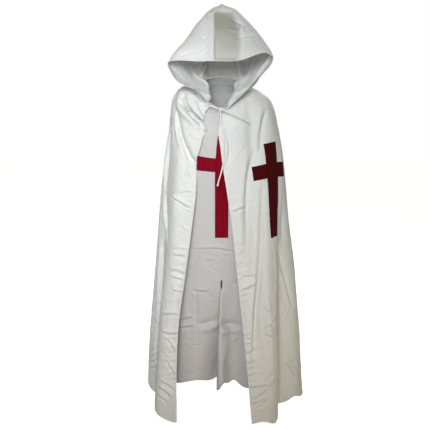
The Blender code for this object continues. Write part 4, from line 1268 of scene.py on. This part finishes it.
class DressStudio(bpy.types.PropertyGroup):
    """The lights, the floor and the camera"""

    key_power: amount("Key power", "Power of the large light, high on the left", 12.7, "POWER")
    front_power: amount("Front power", "Power of the soft light beside the camera", 2.8, "POWER")
    warm_power: amount("Warm power", "Power of the warm light, low on the right", 0.7, "POWER")
    back_power: amount("Back power", "Power of the soft light behind", 50.0, "POWER")
    sky_strength: amount("Sky strength", "Strength of the even light from all round", 0.25)
    floor_glow: amount("Floor glow", "How much the floor glows", 0.80)
    floor_height: amount("Floor height", "Height of the floor", -1.62, "LENGTH")
    lens: amount("Lens", "The camera's focal length", 49.48, "CAMERA")


class DRESS_OT_mantle(bpy.types.Operator):
    """Makes the mantle's two fronts and two backs, and its hood's two panels"""

    bl_idname = "dress.mantle"
    bl_label = "Hooded mantle"

    def execute(self, context):
        finish = cotton("mantle_cotton", context.scene.dress_colours.mantle)
        for name in PANELS:
            if not name.startswith("surcoat"):
                add_panel(name, finish, "mantle_cotton")
        return {"FINISHED"}


class DRESS_OT_surcoat(bpy.types.Operator):
    """Makes the surcoat's front and back"""

    bl_idname = "dress.surcoat"
    bl_label = "Surcoat"

    def execute(self, context):
        finish = cotton("surcoat_cotton", context.scene.dress_colours.surcoat)
        add_panel("surcoat_front", finish, "surcoat_cotton")
        add_panel("surcoat_back", finish, "surcoat_cotton")
        return {"FINISHED"}


class DRESS_OT_crosses(bpy.types.Operator):
    """Sews the two red crosses on"""

    bl_idname = "dress.crosses"
    bl_label = "Crosses"

    def execute(self, context):
        colours = context.scene.dress_colours
        finish = cross_cotton("surcoat_cross_cotton", colours.surcoat_cross)
        panel = cloth_of("surcoat_front")
        add_cross("surcoat_cross", SURCOAT_CROSS, panel, surcoat_point, SURCOAT_CROSS_ANGLES, finish)
        # A darker copy of the same red cotton for the mantle's cross: painted shade.
        finish = cross_cotton("mantle_cross_cotton", colours.mantle_cross)
        panel = cloth_of("mantle_front_left")
        add_cross("mantle_cross", MANTLE_CROSS, panel, mantle_point, MANTLE_CROSS_ANGLES, finish)
        return {"FINISHED"}


class DRESS_OT_tie(bpy.types.Operator):
    """Makes the knotted cord that closes the mantle"""

    bl_idname = "dress.tie"
    bl_label = "Tie"

    def execute(self, context):
        radius = context.scene.dress_sizes.cord_radius
        finish = cord_cotton("tie_cord", context.scene.dress_colours.cord)
        turn = np.linspace(0, 2 * math.pi, 60)
        # An overhand knot's closed curve, a trefoil, cut to the knot's size.
        sideways, upwards = np.sin(turn) + 2 * np.sin(2 * turn), np.cos(turn) - 2 * np.cos(2 * turn)
        knot = np.stack([sideways, -np.sin(3 * turn), upwards], 1)
        knot = knot / np.abs(knot).max(0) * KNOT_REACH + KNOT_CENTRE
        add_cord("tie_knot", knot, radius * KNOT_CORD, finish, closed=True)
        add_cord("tie_lead_right", RIGHT_LEAD, radius, finish)
        add_cord("tie_lead_left", LEFT_LEAD, radius, finish)
        ends = (("tie_end_long", LONG_END, "hanging"), ("tie_end_short", SHORT_END, "loose"))
        for name, points, lay in ends:
            end, route, length = add_cord(name, points, radius, finish, tip=END_KNOT)
            2 * radius
        return {"FINISHED"}


class DRESS_OT_stage(bpy.types.Operator):
    """Sets up the floor, the lights and the camera"""

    bl_idname = "dress.stage"
    bl_label = "Studio"

    def execute(self, context):
        studio = context.scene.dress_studio
        sides = ((-1, -1), (1, -1), (1, 1), (-1, 1))
        corners = np.array([(x * FLOOR_REACH, y * FLOOR_REACH, studio.floor_height) for x, y in sides])
        floor = add_mesh("studio_floor", corners, np.array([(0, 1, 2), (0, 2, 3)]), floor_paint())
        floor.visible_diffuse = False
        for name, light in LIGHTS.items():
            add_light(name, light, getattr(studio, name + "_power"))
        add_world(studio.sky_strength)
        camera = bpy.data.objects.new("camera", bpy.data.cameras.new("camera"))
        camera.data.lens = studio.lens
        camera.data.sensor_width = 36.0
        camera.location = CAMERA_PLACE
        camera.rotation_euler = (math.radians(CAMERA_TILT), 0.0, 0.0)
        context.scene.collection.objects.link(camera)
        context.scene.camera = camera
        context.scene.view_settings.view_transform = "Standard"
        return {"FINISHED"}


class DRESS_PT_panel(bpy.types.Panel):
    """Lists the dress's pieces, its sizes and its colours"""

    bl_idname = "DRESS_PT_panel"
    bl_label = "Crusader Dress"
    bl_space_type = "VIEW_3D"
    bl_region_type = "UI"
    bl_category = "Dress"

    def draw(self, context):
        for operator in OPERATORS:
            self.layout.operator(operator.bl_idname)
        for group in GROUPS:
            values = getattr(context.scene, group)
            for name in values.__annotations__:
                self.layout.prop(values, name)


OPERATORS = (DRESS_OT_mantle, DRESS_OT_surcoat, DRESS_OT_crosses, DRESS_OT_tie, DRESS_OT_stage)
GROUPS = {"dress_sizes": DressSizes, "dress_colours": DressColours, "dress_studio": DressStudio}
CLASSES = (*GROUPS.values(), *OPERATORS, DRESS_PT_panel)


def register():
    """Registers the classes and gives the scene their properties."""
    for cls in CLASSES:
        bpy.utils.register_class(cls)
    for name, group in GROUPS.items():
        setattr(bpy.types.Scene, name, bpy.props.PointerProperty(type=group))


def unregister():
    """Takes both away again."""
    for name in GROUPS:
        delattr(bpy.types.Scene, name)
    for cls in reversed(CLASSES):
        bpy.utils.unregister_class(cls)


def add_light(name, light, power):
    """A square area light at its place, turned to its target."""
    data = bpy.data.lights.new(name, "AREA")
    data.shape, data.size, data.energy, data.color = "SQUARE", light.size, power, light.colour
    data.spread = math.radians(light.spread)
    lamp = bpy.data.objects.new(name, data)
    lamp.location = light.place
    way = np.array(light.target) - np.array(light.place)
    lamp.rotation_euler = (math.atan2(math.hypot(way[0], way[1]), -way[2]), 0.0, math.atan2(-way[0], way[1]))
    bpy.context.scene.collection.objects.link(lamp)


def add_world(strength):
    """An even pale sky, which the camera sees as plain white."""
    world = bpy.data.worlds.new("studio")
    world.use_nodes = True
    bpy.context.scene.world = world
    nodes, links = world.node_tree.nodes, world.node_tree.links
    light, seen = nodes["Background"], nodes.new("ShaderNodeBackground")
    for sky, colour, power in ((light, SKY_COLOUR, strength), (seen, WHITE, 1.0)):
        sky.inputs["Color"].default_value = colour
        sky.inputs["Strength"].default_value = power
    rays, either = nodes.new("ShaderNodeLightPath"), nodes.new("ShaderNodeMixShader")
    links.new(rays.outputs["Is Camera Ray"], either.inputs["Fac"])
    links.new(light.outputs[0], either.inputs[1])
    links.new(seen.outputs[0], either.inputs[2])
    links.new(either.outputs[0], nodes["World Output"].inputs["Surface"])


def main():
    """Makes every piece and the studio."""
    register()
    bpy.ops.dress.mantle()
    bpy.ops.dress.surcoat()
    bpy.ops.dress.crosses()
    bpy.ops.dress.tie()
    bpy.ops.dress.stage()


if __name__ == "__main__":
    main()
